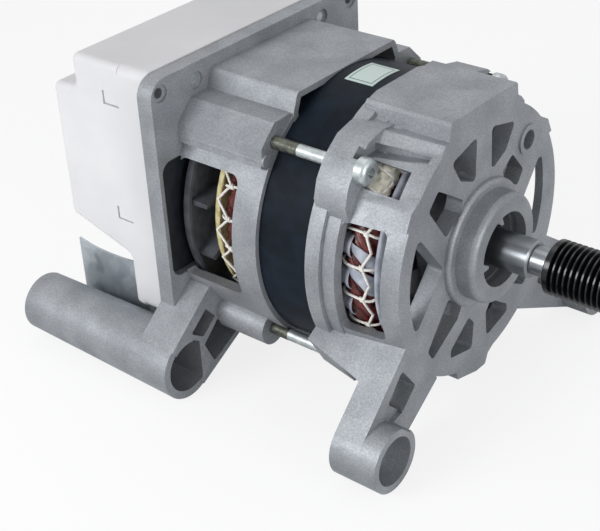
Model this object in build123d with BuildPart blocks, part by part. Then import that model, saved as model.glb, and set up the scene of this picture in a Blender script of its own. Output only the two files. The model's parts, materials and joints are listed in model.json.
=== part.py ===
from build123d import *
import math
import os

import numpy

# Drive motor of a front-loading washing machine with its inverter box on the back.
# X runs along the shaft towards the belt pulley, Z is up, and the origin is on the
# shaft axis at the front face of the bearing hub. Millimetres throughout.

# Stations along the shaft
face_x = -10.4
face_thickness = 7.0
hub_step_x = -8.0
rim_back_x = -18.0
far_rim_back_x = -14.0
window_back_x = -37.0
flange_step_x = -43.0
front_back_x = -49.5
rear_front_x = -73.5
plate_front_x = -117.0
plate_back_x = -124.5
rear_window_front_x = -85.5
plate_pocket_x = -120.5
plate_pocket_y = 62.6
plate_pocket_corner = 5.0
front_window_low = -20.0
front_window_high = 25.0
rear_window_low = -23.0
rear_window_high = 29.0
window_depth_y = 38.0

# Castings
rim_radius = 55.0
flange_radius = 58.4
flange_step = 0.6
stator_radius = 58.0
shield_radius = 60.0
casting_wall = 3.2
pad_height = 58.5
pad_corner = 1.2
pad_wall = 2.5
front_pad_half = 22.5
front_pad_flare = 0.7
front_pad_waist = -1.5
front_pad_back_x = -48.0
rear_pad_half = 31.5
rear_pad_flare = 2.3
rear_pad_waist = 1.5
rear_pad_front_x = -73.0
rear_pad_hollow_x = -90.0
plate_half = 64.5
plate_top = 63.5
plate_bottom = -61.5
plate_corner = 8.0

# Tie bolts
bolt_y = 44.0
bolt_z = 43.0
bolt_radius = 2.5
bolt_hole_gap = 0.25
bolt_head_radius = 5.25
bolt_head_height = 4.6
bolt_block_front_x = -34.0
bolt_block_back_x = -48.3
bolt_recess_front_x = -24.0
bolt_end_x = -104.0

# Mounting lugs
near_lug = (-69.5, -58.0)
far_lug = (80.0, -58.0)
lug_radius = 13.1
lug_bore = 10.0
lug_length = 20.8
near_lug_front_x = -2.2
far_lug_front_x = 1.5
sleeve_front_x = -106.5
sleeve_back_x = -194.0
sleeve_front_radius = 14.6
sleeve_back_radius = 13.0
sleeve_bore_length = 44.0

# Stator and rotor
stack_front_x = -45.5
stack_back_x = -80.0
bore_radius = 33.5
air_gap = 0.5
slot_count = 24
slot_width = 5.2
slot_bottom = 49.0
slot_top = 35.6
slot_mouth = 2.4
liner_thickness = 0.4
liner_overhang = 3.6
liner_corner = 1.8

# End turns, wound as one piece of wire on each side
wire_diameter = 2.3
turn_pitch = 2.95
layer_pitch = 4.0
layer_count = 4
turns_per_layer = 4
winding_outer = 50.0
front_winding_x = -38.9
rear_winding_x = -86.3
lacing_count = 12
lacing_width = 1.1
lacing_thickness = 0.6
soft_gap = 0.3

# Bearings, 15 x 35 x 11
bearing_outer = 17.5
bearing_inner = 7.5
bearing_width = 11.0
ball_radius = 3.0
ball_circle = 12.5
ball_count = 8
ball_gap = 0.12
front_bearing_back_x = -22.0
rear_bearing_back_x = -121.0
seat_gap = 0.03
mouth_radius = 15.1
mouth_groove_x = (-7.0, -4.2)
mouth_groove_depth = 1.0
circlip_groove = 1.5
circlip_groove_depth = 1.1
circlip_thickness = 1.3
hub_radius = 22.25
hub_step_radius = 26.0
hub_edge_round = 2.6
hub_step_round = 1.6
seat_wall = 4.5
hub_boss_radius = bearing_outer + seat_wall
hub_boss_back_x = -25.5

# Shaft and pulley
journal_radius = bearing_inner
collar_end_x = 13.5
neck_radius = 5.75
core_shaft_radius = 11.0
pulley_start_x = 21.5
pulley_radius = 10.8
pulley_bore = 5.4
rib_pitch = 2.34
rib_count = 10
rib_depth = 1.9
pulley_lead = 4.5

# Fan
fan_radius = 54.4
fan_room = 1.4
fan_front_x = -105.0
fan_disc = 1.6
fan_back_x = -116.2
fan_rim = 3.0
fan_cup_wall = 1.8
fan_blade_front_x = -106.0
fan_blades = 13

# Motor leads, through a slot in the plate
lead_radius = 1.0
lead_circle = 57.2
lead_angle = 66.0
lead_spread = 4.4
lead_rise_x = -92.0
lead_bend = 2.5
lead_slot_width = 15.0
lead_slot_height = 4.6
lead_end_x = -128.5

# Inverter box
box_half = 60.0
box_top = 64.0
box_bottom = -46.5
box_wall = 2.6
seam_x = -139.4
narrow_back_x = -145.3
upper_back_x = -165.5
deep_back_x = -179.0
ledge_z = 49.5
deep_low_z = -12.5
chamfer_low_z = -22.6
box_corner = 4.0
board_x = -136.0
board_thickness = 1.6
board_half = 55.0
board_bottom = -42.5
board_top = 58.0
sheet_y = -52.5
sheet_thickness = 1.0
sheet_back_x = -186.0
sheet_top = -31.0
sheet_bottom = -66.0

os.makedirs("parts", exist_ok=True)
made = []


def yz(x):
    """The plane across the shaft at x, with Y to its right and Z up."""
    return Plane.YZ.offset(x)


def xz(y):
    """The plane along the shaft at y, with X to its right and Z up, facing -Y."""
    return Plane.XZ.offset(-y)


def rod(x0, x1, radius, at=(0, 0), mode=Mode.ADD):
    """A round bar along the shaft direction."""
    with BuildSketch(yz(x0)) as profile:
        with Locations(at):
            Circle(radius)
    extrude(profile.sketch, amount=x1 - x0, dir=(1, 0, 0), mode=mode)


def ring(x0, x1, outer, inner, mode=Mode.ADD):
    """A plain ring around the shaft axis."""
    with BuildSketch(yz(x0)) as profile:
        Circle(outer)
        Circle(inner, mode=Mode.SUBTRACT)
    extrude(profile.sketch, amount=x1 - x0, dir=(1, 0, 0), mode=mode)


def prism(x0, x1, points, corner=0.0, mode=Mode.ADD):
    """A closed outline of (y, z) points carried from x0 to x1."""
    with BuildSketch(yz(x0)) as profile:
        with BuildLine():
            if corner > 0:
                FilletPolyline(*points, radius=corner, close=True)
            else:
                Polyline(*points, close=True)
        make_face()
    extrude(profile.sketch, amount=x1 - x0, dir=(1, 0, 0), mode=mode)


def slab(y0, y1, points, corner, mode=Mode.ADD):
    """A closed outline of (x, z) points carried from y0 to y1."""
    with BuildSketch(xz(y0)) as profile:
        with BuildLine():
            FilletPolyline(*points, radius=corner, close=True)
        make_face()
    extrude(profile.sketch, amount=y1 - y0, dir=(0, 1, 0), mode=mode)


def turned(points, mode=Mode.ADD):
    """A closed outline of (x, radius) points turned about the shaft axis."""
    with BuildSketch(Plane.XY) as profile:
        with BuildLine():
            Polyline(*points, close=True)
        make_face()
    revolve(profile.sketch, axis=Axis.X, mode=mode)


def box(low, high, mode=Mode.ADD):
    """A plain block between two corners."""
    centre = tuple((a + b) / 2 for a, b in zip(low, high))
    size = [b - a for a, b in zip(low, high)]
    with Locations(centre):
        Box(*size, mode=mode)


def flipped(points):
    """The same outline on the other side of the shaft."""
    return [(-y, z) for y, z in points]


def both(points):
    """An outline and its mirror image."""
    return [points, flipped(points)]


def corners(y, z):
    """Four places, one in each quarter."""
    return [(-y, -z), (-y, z), (y, -z), (y, z)]


def tangent(point, centre, radius, side):
    """Where a line from a point touches a circle, on its left (1) or right (-1) side."""
    dy = centre[0] - point[0]
    dz = centre[1] - point[1]
    distance = math.hypot(dy, dz)
    swing = math.asin(radius / distance)
    reach = math.sqrt(distance ** 2 - radius ** 2)
    heading = math.atan2(dz, dy) + side * swing
    return (point[0] + reach * math.cos(heading), point[1] + reach * math.sin(heading))


def polar(radius, degrees):
    """A (y, z) point at a radius and an angle from +Y."""
    angle = math.radians(degrees)
    return (radius * math.cos(angle), radius * math.sin(angle))


def lead_slot(x0, x1, width, height, mode=Mode.ADD):
    """A slot with round ends where the motor leads pass the plate."""
    with BuildSketch(yz(x0)) as profile:
        with Locations(polar(lead_circle, lead_angle)):
            SlotOverall(width, height, rotation=lead_angle - 90)
    extrude(profile.sketch, amount=x1 - x0, dir=(1, 0, 0), mode=mode)


def pad_outline(half, flare, waist):
    """Section of the flat-topped pad that both castings carry on top."""
    right = [
        (half - pad_corner, pad_height),
        (half, pad_height - pad_corner),
        (half + flare, pad_height - 7.3),
        (half + waist, 40.0),
    ]
    return right + [(-y, z) for y, z in reversed(right)]


def keep(builder, name):
    """Label a finished piece and write it."""
    builder.part.label = name
    export_step(builder.part, f"parts/{name}.step")
    made.append(name)


# Front shield: spoked bearing carrier with a mounting lug on each side

spoke_openings = [
    [(-21.5, 42.5), (-5.0, 46.7), (-5.5, 28.3), (-15.5, 32.8)],
    [(-36.0, 29.2), (-30.0, 35.3), (-13.5, 24.3), (-15.6, 19.6), (-24.9, 13.4)],
    [(-22.6, -14.4), (-13.2, -22.2), (-16.0, -27.0), (-33.0, -36.6), (-36.3, -31.3)],
    [(-8.0, -30.6), (-4.3, -35.0), (-5.4, -46.8), (-20.8, -43.0), (-20.3, -39.3)],
]
mouth_nibs = [
    [(-2.6, 15.6), (-6.2, 14.4), (-2.4, 11.4), (-1.0, 11.3)],
    [(-15.9, 1.0), (-15.2, -3.2), (-11.0, -3.2), (-11.1, -2.0)],
]
mouth_nib_x = (-1.8, -0.2)
bossed_opening = [(13.5, 24.3), (15.6, 19.6), (24.9, 13.4), (29.0, 19.0), (20.5, 29.0)]
side_opening_corner_hub = (26.0, 0.6)
near_side_opening = [(42.3, 21.5), (47.9, 0.0), (44.0, -19.0)]
far_side_opening = [(42.3, 21.0), (45.0, 0.0), (40.5, -17.0)]
spoke_boss = (31.0, 31.0)
spoke_boss_radius = 6.2
spoke_boss_hole = 4.0
flank_back = [(-35.0, 43.5), (-36.0, 50.0), (-31.0, 53.5), (-23.0, 51.5), (-21.0, 40.0), (-30.0, 38.0)]
flank_front = [(-28.5, 41.0), (-27.8, 48.5), (-25.5, 51.2), (-23.0, 51.5), (-21.0, 40.0), (-26.0, 38.0)]
flank_pocket_back = [(-45.0, 44.6), (-45.0, 50.4), (-31.4, 50.4), (-31.4, 44.6)]
flank_pocket_front = [(-45.0, 45.4), (-45.0, 47.4), (-27.6, 47.4), (-27.6, 45.4)]
flank_pocket_x = (-37.0, -14.0)
rib_section = [(-40.5, 37.0), (-46.8, 33.4), (-49.8, 27.0), (-40.0, 25.5)]
block_section = [
    (-24.0, 53.0),
    (-31.0, 53.6),
    (-39.0, 51.8),
    (-43.4, 48.6),
    (-47.4, 45.4),
    (-52.0, 38.7),
    (-54.0, 31.5),
    (-52.0, 24.0),
    (-40.0, 24.0),
    (-24.0, 42.0),
]
keel = [(-17.0, -48.0), (-15.5, -56.4), (-1.6, -60.3), (5.0, -60.5), (7.0, -56.0), (18.0, -50.0)]
upper_window = [(-36.5, 43.8), (-46.0, 56.0), (-60.0, 46.0), (-42.6, 34.8), (-32.0, 20.0), (-20.0, 30.0)]


gusset_back = [(-40.0, -22.0), (-50.5, -21.5), (-60.0, -27.0), (-51.0, -42.0), (-36.0, -46.0)]
gusset_front = [(-40.0, -22.0), (-50.5, -21.5), (-63.0, -34.0), (-52.0, -48.0), (-36.0, -46.0)]


def side_opening(outline, sign):
    """The wide triangular opening beside the hub, round where it follows the rim."""
    top, rim, low, hub = [(sign * y, z) for y, z in outline + [side_opening_corner_hub]]
    with BuildSketch(yz(face_x - face_thickness - 1)) as opening:
        with BuildLine():
            Line(top, hub)
            Line(hub, low)
            ThreePointArc(low, rim, top)
        make_face()
        fillet(opening.vertices(), 2.0)
    extrude(opening.sketch, amount=face_thickness + 2, dir=(1, 0, 0), mode=Mode.SUBTRACT)


def between(back, back_x, front, front_x, sign, mode=Mode.ADD):
    """A solid that changes from one outline to another, drawn for the near side (-1)."""
    with BuildSketch(yz(back_x)) as start:
        with BuildLine():
            Polyline(*[(-sign * y, z) for y, z in back], close=True)
        make_face()
    with BuildSketch(yz(front_x)) as end:
        with BuildLine():
            Polyline(*[(-sign * y, z) for y, z in front], close=True)
        make_face()
    loft([start.sketch, end.sketch], ruled=True, mode=mode)


def round_off(x, radius, size):
    """Rounds the outer front edge of a round boss."""
    rear = x - size
    low = radius - size
    front, outside = x + 1, radius + 1
    with BuildSketch(Plane.XY) as profile:
        with BuildLine():
            RadiusArc((rear, radius), (x, low), size)
            Polyline((x, low), (front, low), (front, outside), (rear, outside), (rear, radius))
        make_face()
    revolve(profile.sketch, axis=Axis.X, mode=Mode.SUBTRACT)


def front_arm(lug, front_x, sign):
    """A hollow arm from the rim down to a lug, deepest where it leaves the shield."""
    rim_top = (sign * 50.5, -21.5)
    rim_low = (sign * 30.0, -47.0)
    left = tangent(rim_top, lug, lug_radius, sign)
    right = tangent((sign * 34.0, -46.0), lug, lug_radius, -sign)
    body = [(sign * 40.0, -22.0), rim_top, left, lug, right, rim_low]
    prism(front_x - lug_length, face_x, body)
    prism(face_x, front_x, [left, lug, right, ((left[0] + right[0]) / 2 + sign * 4, -46)])
    rod(front_x - lug_length, front_x, lug_radius, at=lug)


def front_gusset(front_x, sign):
    """The wedge behind an arm, from the back of the shield to halfway down the arm."""
    between(gusset_back, front_back_x, gusset_front, front_x - lug_length, sign)


def arm_pocket(front_x, sign):
    """The recess in the front of an arm, with a shelf halfway down."""
    deep = [(sign * 53.0, -30.0), (sign * 62.0, -40.0), (sign * 53.0, -49.0), (sign * 44.5, -41.5)]
    shelf = [(sign * 62.0, -40.0), (sign * 66.0, -44.5), (sign * 60.0, -50.5), (sign * 53.0, -49.0)]
    prism(-34.0, front_x + 1, deep, 1.5, mode=Mode.SUBTRACT)
    prism(-12.5, front_x + 1, shelf, 0.0, mode=Mode.SUBTRACT)


with BuildPart() as front_shield:
    rod(front_back_x, flange_step_x, shield_radius)
    rod(flange_step_x, window_back_x, flange_radius)
    with BuildSketch(yz(window_back_x)):
        Circle(flange_radius - flange_step)
    with BuildSketch(yz(face_x)):
        Circle(rim_radius)
    loft()
    prism(front_pad_back_x, face_x, pad_outline(front_pad_half, front_pad_flare, front_pad_waist))
    for sign in (-1, 1):
        between(flank_back, window_back_x - 1.0, flank_front, face_x, sign)
    for outline in both(rib_section):
        prism(bolt_block_front_x - 1.0, face_x, outline)
    for outline in both(block_section):
        prism(bolt_block_back_x, bolt_block_front_x, outline)
    prism(-30.0, face_x, keel, 1.0)
    front_arm(near_lug, near_lug_front_x, -1)
    front_arm(far_lug, far_lug_front_x, 1)
    front_gusset(near_lug_front_x, -1)
    front_gusset(far_lug_front_x, 1)
    rod(face_x, hub_step_x, hub_step_radius)
    round_off(hub_step_x, hub_step_radius, hub_step_round)
    rod(hub_step_x, 0.0, hub_radius)
    round_off(0.0, hub_radius, hub_edge_round)
    # The hollow inside, with a rebate that grips the stator
    turned(
        [
            (front_back_x - 1.0, 0.0),
            (front_back_x - 1.0, stator_radius + seat_gap),
            (stack_front_x, stator_radius + seat_gap),
            (stack_front_x, stator_radius - casting_wall),
            (face_x - face_thickness, rim_radius - casting_wall),
            (face_x - face_thickness, 0.0),
        ],
        mode=Mode.SUBTRACT,
    )
    arm_pocket(near_lug_front_x, -1)
    arm_pocket(far_lug_front_x, 1)
    # Openings in the face
    for index, outline in enumerate(spoke_openings):
        prism(face_x - face_thickness - 1, face_x + 1, outline, 1.8, mode=Mode.SUBTRACT)
        if index != 1:
            prism(face_x - face_thickness - 1, face_x + 1, flipped(outline), 1.8, mode=Mode.SUBTRACT)
    prism(face_x - face_thickness - 1, face_x + 1, bossed_opening, 1.8, mode=Mode.SUBTRACT)
    side_opening(far_side_opening, 1)
    side_opening(near_side_opening, -1)
    rod(face_x, face_x + 0.9, spoke_boss_radius, at=spoke_boss)
    rod(face_x - face_thickness - 1, face_x + 2, spoke_boss_hole, at=spoke_boss, mode=Mode.SUBTRACT)
    # Windows in the barrel
    sides = ((-far_lug[0], -window_depth_y, rim_back_x), (window_depth_y, far_lug[0], far_rim_back_x))
    for y_low, y_high, front_x in sides:
        window = [
            (window_back_x, front_window_low),
            (front_x, front_window_low),
            (front_x, front_window_high),
            (window_back_x, front_window_high),
        ]
        slab(y_low, y_high, window, 2.5, mode=Mode.SUBTRACT)
    for outline in both(upper_window):
        prism(bolt_block_front_x, rim_back_x, outline, mode=Mode.SUBTRACT)
    pocket_back_x, pocket_front_x = flank_pocket_x
    for sign in (-1, 1):
        between(flank_pocket_back, pocket_back_x, flank_pocket_front, pocket_front_x, sign, Mode.SUBTRACT)
    # Bearing seat, mouth and the groove for its circlip
    seat_front_x = front_bearing_back_x + bearing_width
    rod(hub_boss_back_x, face_x - face_thickness, hub_boss_radius)
    rod(hub_boss_back_x, seat_front_x, bearing_outer + seat_gap, mode=Mode.SUBTRACT)
    rod(seat_front_x - 1, 1.0, mouth_radius, mode=Mode.SUBTRACT)
    rod(*mouth_groove_x, mouth_radius + mouth_groove_depth, mode=Mode.SUBTRACT)
    for outline in mouth_nibs:
        prism(*mouth_nib_x, outline)
    rod(
        front_bearing_back_x - circlip_groove,
        front_bearing_back_x,
        bearing_outer + circlip_groove_depth,
        mode=Mode.SUBTRACT,
    )
    # Bolt holes and lug bores
    for place in corners(bolt_y, bolt_z):
        rod(front_back_x, bolt_block_front_x, bolt_radius + bolt_hole_gap, at=place, mode=Mode.SUBTRACT)
        rod(bolt_block_front_x, bolt_recess_front_x, bolt_head_radius + 1.0, at=place, mode=Mode.SUBTRACT)
    rod(front_back_x, far_lug_front_x, lug_bore, at=near_lug, mode=Mode.SUBTRACT)
    rod(front_back_x, far_lug_front_x, lug_bore, at=far_lug, mode=Mode.SUBTRACT)
    box(
        (front_back_x - 1, -front_pad_half, pad_height),
        (face_x + 1, front_pad_half, pad_height + 5),
        mode=Mode.SUBTRACT,
    )
keep(front_shield, "front_shield")


# Rear shield: a square plate that also cools the inverter, a barrel and two long sleeves

rear_block = [
    (-30.0, 50.9),
    (-34.4, 50.9),
    (-43.4, 50.6),
    (-51.4, 42.9),
    (-52.4, 35.2),
    (-44.0, 30.0),
    (-28.0, 42.0),
]
rear_block_front_x = -74.5
core_rib_place = (-49.6, 37.4)
core_rib_radius = 2.6
low_boss_radius = 7.4
low_boss_front_x = -81.0
web_front_x = -106.0
web_floor_x = -121.0
web_corner_high = (54.4, -27.3)
web_corner_low = (36.7, -57.2)
teardrop_radius = 11.2
teardrop_wall = 6.8
plate_hole_radius = 2.1
plate_hole_sink = 3.6
plate_sink_depth = 1.2
plate_screw_places = [(-39.4, 56.1), (39.4, 56.1), (-34.0, -39.2), (34.0, -39.2)]
plate_corner_places = [(-59.2, 57.7), (59.2, 57.7)]
plate_corner_depth = 5.5
rear_seat_front_x = -108.0
rear_seat_radius = bearing_outer + seat_wall
washer_room = 1.4


def rear_web(lug, sign):
    """The ribbed web between the plate and a sleeve."""
    high = (sign * web_corner_high[0], web_corner_high[1])
    low = (sign * web_corner_low[0], web_corner_low[1])
    left = tangent(high, lug, sleeve_front_radius, sign)
    right = tangent(low, lug, sleeve_front_radius, -sign)
    prism(plate_back_x, web_front_x, [(sign * 40, -25), high, left, lug, right, low, (sign * 25, -50)])


def rear_sleeve(lug):
    """A long sleeve, a little wider at its front end."""
    with BuildSketch(yz(sleeve_back_x)) as back:
        with Locations(lug):
            Circle(sleeve_back_radius)
    with BuildSketch(yz(sleeve_front_x)) as front:
        with Locations(lug):
            Circle(sleeve_front_radius)
    loft([back.sketch, front.sketch])


def rear_pockets(lug, sign):
    """Two pockets in the web and the teardrop core of the sleeve."""
    shift = lug[0] - sign * abs(near_lug[0])
    small = [(sign * 57.3, -36.2), (sign * 66.8, -43.6), (sign * 60.2, -48.4), (sign * 52.2, -42.2)]
    large = [(sign * 50.4, -43.8), (sign * 37.6, -54.6), (sign * 55.0, -63.6), (sign * 60.0, -52.6)]
    prism(web_floor_x, web_front_x + 1, [(y + shift * 0.6, z) for y, z in small], 0.8, mode=Mode.SUBTRACT)
    prism(web_floor_x, web_front_x + 1, [(y + shift * 0.3, z) for y, z in large], 1.2, mode=Mode.SUBTRACT)
    wall_y = lug[0] - sign * teardrop_wall
    with BuildSketch(yz(sleeve_back_x + sleeve_bore_length)) as core:
        with Locations(lug):
            Circle(teardrop_radius)
        with BuildLine():
            Polyline(
                (lug[0] + sign * 9.6, lug[1] + 5.4),
                (lug[0] - sign * 3.6, lug[1] + 11.2),
                (wall_y, lug[1] + 8.4),
                (wall_y, lug[1]),
                close=True,
            )
        make_face()
        with Locations((wall_y - sign * 10, lug[1])):
            Rectangle(20, 40, mode=Mode.SUBTRACT)
    depth = sleeve_front_x - (sleeve_back_x + sleeve_bore_length) + 1
    extrude(core.sketch, amount=depth, dir=(1, 0, 0), mode=Mode.SUBTRACT)
    rod(sleeve_back_x - 1, sleeve_back_x + sleeve_bore_length, lug_bore, at=lug, mode=Mode.SUBTRACT)


def plate_pocket(front_x, room, mode=Mode.ADD):
    """What lies in the hollow of the plate behind each window, or the hollow itself."""
    width = plate_pocket_y - window_depth_y - 2 * room
    height = rear_window_high - rear_window_low - 2 * room
    middle_y = (plate_pocket_y + window_depth_y) / 2
    middle_z = (rear_window_high + rear_window_low) / 2
    with BuildSketch(yz(plate_pocket_x)) as pocket:
        with Locations((-middle_y, middle_z), (middle_y, middle_z)):
            RectangleRounded(width, height, plate_pocket_corner - room)
    extrude(pocket.sketch, amount=front_x - plate_pocket_x, dir=(1, 0, 0), mode=mode)


with BuildPart() as rear_shield:
    with BuildSketch(yz(plate_back_x)) as plate:
        with Locations((0, (plate_top + plate_bottom) / 2)):
            RectangleRounded(2 * plate_half, plate_top - plate_bottom, plate_corner)
    extrude(plate.sketch, amount=plate_front_x - plate_back_x, dir=(1, 0, 0))
    rod(plate_front_x, rear_front_x, shield_radius)
    prism(plate_front_x, rear_pad_front_x, pad_outline(rear_pad_half, rear_pad_flare, rear_pad_waist))
    for outline in both(rear_block):
        prism(plate_front_x, rear_block_front_x, outline)
    for sign in (-1, 1):
        spot = (-sign * core_rib_place[0], core_rib_place[1])
        rod(plate_front_x, rear_block_front_x + 1.0, core_rib_radius, at=spot)
        rod(plate_front_x, low_boss_front_x, low_boss_radius, at=(sign * bolt_y, -bolt_z))
    rear_web(near_lug, -1)
    rear_web(far_lug, 1)
    box(
        (plate_front_x, -rear_pad_half, pad_height),
        (rear_pad_front_x + 1, rear_pad_half, pad_height + 5),
        mode=Mode.SUBTRACT,
    )
    turned(
        [
            (rear_pad_front_x + 1, 0.0),
            (rear_pad_front_x + 1, stator_radius + seat_gap),
            (stack_back_x, stator_radius + seat_gap),
            (stack_back_x, stator_radius - casting_wall),
            (plate_front_x, fan_radius + fan_room),
            (plate_front_x, 0.0),
        ],
        mode=Mode.SUBTRACT,
    )
    hollow = [
        (rear_pad_half - pad_wall, pad_height - pad_wall),
        (rear_pad_half + rear_pad_flare - pad_wall, pad_height - 8.0),
        (rear_pad_half - pad_wall, 42.0),
    ]
    hollow += [(-y, z) for y, z in reversed(hollow)]
    prism(rear_pad_hollow_x, rear_pad_front_x + 1, hollow, mode=Mode.SUBTRACT)
    rear_sleeve(near_lug)
    rear_sleeve(far_lug)
    rear_pockets(near_lug, -1)
    rear_pockets(far_lug, 1)
    window = [
        (plate_front_x, rear_window_low),
        (rear_window_front_x, rear_window_low),
        (rear_window_front_x, rear_window_high),
        (plate_front_x, rear_window_high),
    ]
    slab(-plate_half, -window_depth_y, window, 4.0, mode=Mode.SUBTRACT)
    slab(window_depth_y, plate_half, window, 4.0, mode=Mode.SUBTRACT)
    # The plate is hollowed behind each window
    plate_pocket(plate_front_x + 1, 0.0, mode=Mode.SUBTRACT)
    # Seat of the rear bearing
    rod(plate_front_x - 1, rear_seat_front_x, rear_seat_radius)
    rod(rear_bearing_back_x - washer_room, rear_seat_front_x, bearing_outer + seat_gap, mode=Mode.SUBTRACT)
    # Holes in the plate for the box and the motor leads
    sink_x = plate_front_x - plate_sink_depth
    corner_x = plate_front_x - plate_corner_depth
    for place in plate_screw_places:
        rod(plate_back_x - 1, plate_front_x + 1, plate_hole_radius, at=place, mode=Mode.SUBTRACT)
        rod(sink_x, plate_front_x + 1, plate_hole_sink, at=place, mode=Mode.SUBTRACT)
    for place in plate_corner_places:
        rod(corner_x, plate_front_x + 1, plate_hole_radius, at=place, mode=Mode.SUBTRACT)
        rod(sink_x, plate_front_x + 1, plate_hole_sink, at=place, mode=Mode.SUBTRACT)
    # Way for the motor leads, open to the inside of the barrel
    channel_front_x = lead_rise_x + lead_radius + 1.0
    lead_slot(plate_back_x - 1, channel_front_x, lead_slot_width, lead_slot_height, mode=Mode.SUBTRACT)
    with BuildSketch(yz(plate_front_x)) as channel:
        with Locations(polar(lead_circle - lead_slot_height / 2, lead_angle)):
            Rectangle(lead_slot_width - lead_slot_height, lead_slot_height, rotation=lead_angle - 90)
    extrude(channel.sketch, amount=channel_front_x - plate_front_x, dir=(1, 0, 0), mode=Mode.SUBTRACT)
    for place in corners(bolt_y, bolt_z):
        rod(bolt_end_x - 2, rear_pad_front_x, bolt_radius + seat_gap, at=place, mode=Mode.SUBTRACT)
keep(rear_shield, "rear_shield")


# Stator: laminated stack, slot liners and the copper in the slots

slot_depth = slot_bottom - slot_top
slot_middle = (slot_bottom + slot_top) / 2

with BuildPart() as stator_core:
    with BuildSketch(yz(stack_back_x)):
        Circle(stator_radius)
        Circle(bore_radius, mode=Mode.SUBTRACT)
        with PolarLocations(slot_middle, slot_count):
            Rectangle(slot_depth, slot_width, mode=Mode.SUBTRACT)
        with PolarLocations((bore_radius + slot_top) / 2, slot_count):
            Rectangle(slot_top - bore_radius + 1.0, slot_mouth, mode=Mode.SUBTRACT)
    extrude(amount=stack_front_x - stack_back_x)
keep(stator_core, "stator_core")

with BuildPart() as slot_liners:
    with BuildSketch(yz(stack_back_x - liner_overhang)):
        with PolarLocations(slot_middle, slot_count):
            RectangleRounded(slot_depth, slot_width, liner_corner)
        with PolarLocations(slot_middle, slot_count):
            RectangleRounded(
                slot_depth - 2 * liner_thickness,
                slot_width - 2 * liner_thickness,
                liner_corner - liner_thickness,
                mode=Mode.SUBTRACT,
            )
    extrude(amount=stack_front_x - stack_back_x + 2 * liner_overhang)
keep(slot_liners, "slot_liners")

copper_inset = liner_thickness + 0.2
copper_overhang = liner_overhang + 0.5

with BuildPart() as slot_windings:
    with BuildSketch(yz(stack_back_x - copper_overhang)):
        with PolarLocations(slot_middle, slot_count):
            RectangleRounded(slot_depth - 2 * copper_inset, slot_width - 2 * copper_inset, 1.2)
    extrude(amount=stack_front_x - stack_back_x + 2 * copper_overhang)
keep(slot_windings, "slot_windings")


# End turns: one unbroken wire on each side, piled in layers that spiral in and out

def half_turn_stations(first_x, away):
    """Where the wire crosses the horizontal plane, as (x, radius), every half turn."""
    stations = []
    radius = winding_outer
    step = -turn_pitch / 2
    for layer in range(layer_count):
        for crossing in range(2 * turns_per_layer + 1):
            stations.append((first_x + away * layer * layer_pitch, radius))
            radius += step
        radius -= step
        step = -step
    return stations


def wire_route(stations):
    """Half turns of two tangent arcs each, with a short straight at either end."""
    first_x, first_radius = stations[0]
    last_x, last_radius = stations[-1]
    with BuildLine() as route:
        Line((first_x, first_radius, -wire_diameter), (first_x, first_radius, 0))
        side = 1
        for (x_a, r_a), (x_b, r_b) in zip(stations, stations[1:]):
            reach = math.hypot(x_b - x_a, r_a + r_b) / 2
            start = (x_a, side * r_a, 0)
            end = (x_b, -side * r_b, 0)
            middle = ((x_a + x_b) / 2, side * (r_a - r_b) / 2, side * reach)
            heading = (x_b - x_a, -side * (r_a + r_b), 0)
            TangentArc(start, middle, tangent=(0, 0, side))
            TangentArc(middle, end, tangent=heading)
            side = -side
        Line((last_x, side * last_radius, 0), (last_x, side * last_radius, side * wire_diameter))
    return route.wires()[0]


def least_gap(route, spacing=0.8):
    """The smallest free distance between turns, measured on points along the wire."""
    points = []
    for edge in route.order_edges():
        count = max(2, int(edge.length / spacing))
        points.extend(tuple(edge @ (index / count)) for index in range(count))
    points = numpy.array(points)
    apart = int(math.pi * winding_outer / 2 / spacing)
    nearest = math.inf
    for index in range(len(points) - apart):
        distances = numpy.linalg.norm(points[index + apart:] - points[index], axis=1)
        nearest = min(nearest, distances.min())
    return nearest - wire_diameter


def wind(first_x, away, name):
    """Sweep the wire along its route and report its gap and length."""
    stations = half_turn_stations(first_x, away)
    route = wire_route(stations)
    start = (stations[0][0], stations[0][1], -wire_diameter)
    with BuildSketch(Plane(origin=start, x_dir=(1, 0, 0), z_dir=(0, 0, 1))) as section:
        Circle(wire_diameter / 2)
    sweep(section.sketch, path=route)
    loops = (len(stations) - 1) / 2
    print(name, "loops", loops, "length", round(route.length, 1), "least gap", round(least_gap(route), 3))
    return route.length


with BuildPart() as front_end_winding:
    front_wire_length = wind(front_winding_x, 1, "front_end_winding")
keep(front_end_winding, "front_end_winding")

with BuildPart() as rear_end_winding:
    rear_wire_length = wind(rear_winding_x, -1, "rear_end_winding")
keep(rear_end_winding, "rear_end_winding")

wire_area = math.pi * wire_diameter ** 2 / 4
for winding, length in ((front_end_winding, front_wire_length), (rear_end_winding, rear_wire_length)):
    print("volume over section times length", round(winding.part.volume / (wire_area * length), 4))


# What binds and wraps the end turns

bundle_depth = (layer_count - 1) * layer_pitch + wire_diameter
bundle_inner = winding_outer - turns_per_layer * turn_pitch - wire_diameter / 2
bundle_outer = winding_outer + wire_diameter / 2
front_bundle_x = (front_winding_x - wire_diameter / 2, front_winding_x - wire_diameter / 2 + bundle_depth)
rear_bundle_x = (rear_winding_x + wire_diameter / 2 - bundle_depth, rear_winding_x + wire_diameter / 2)


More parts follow.
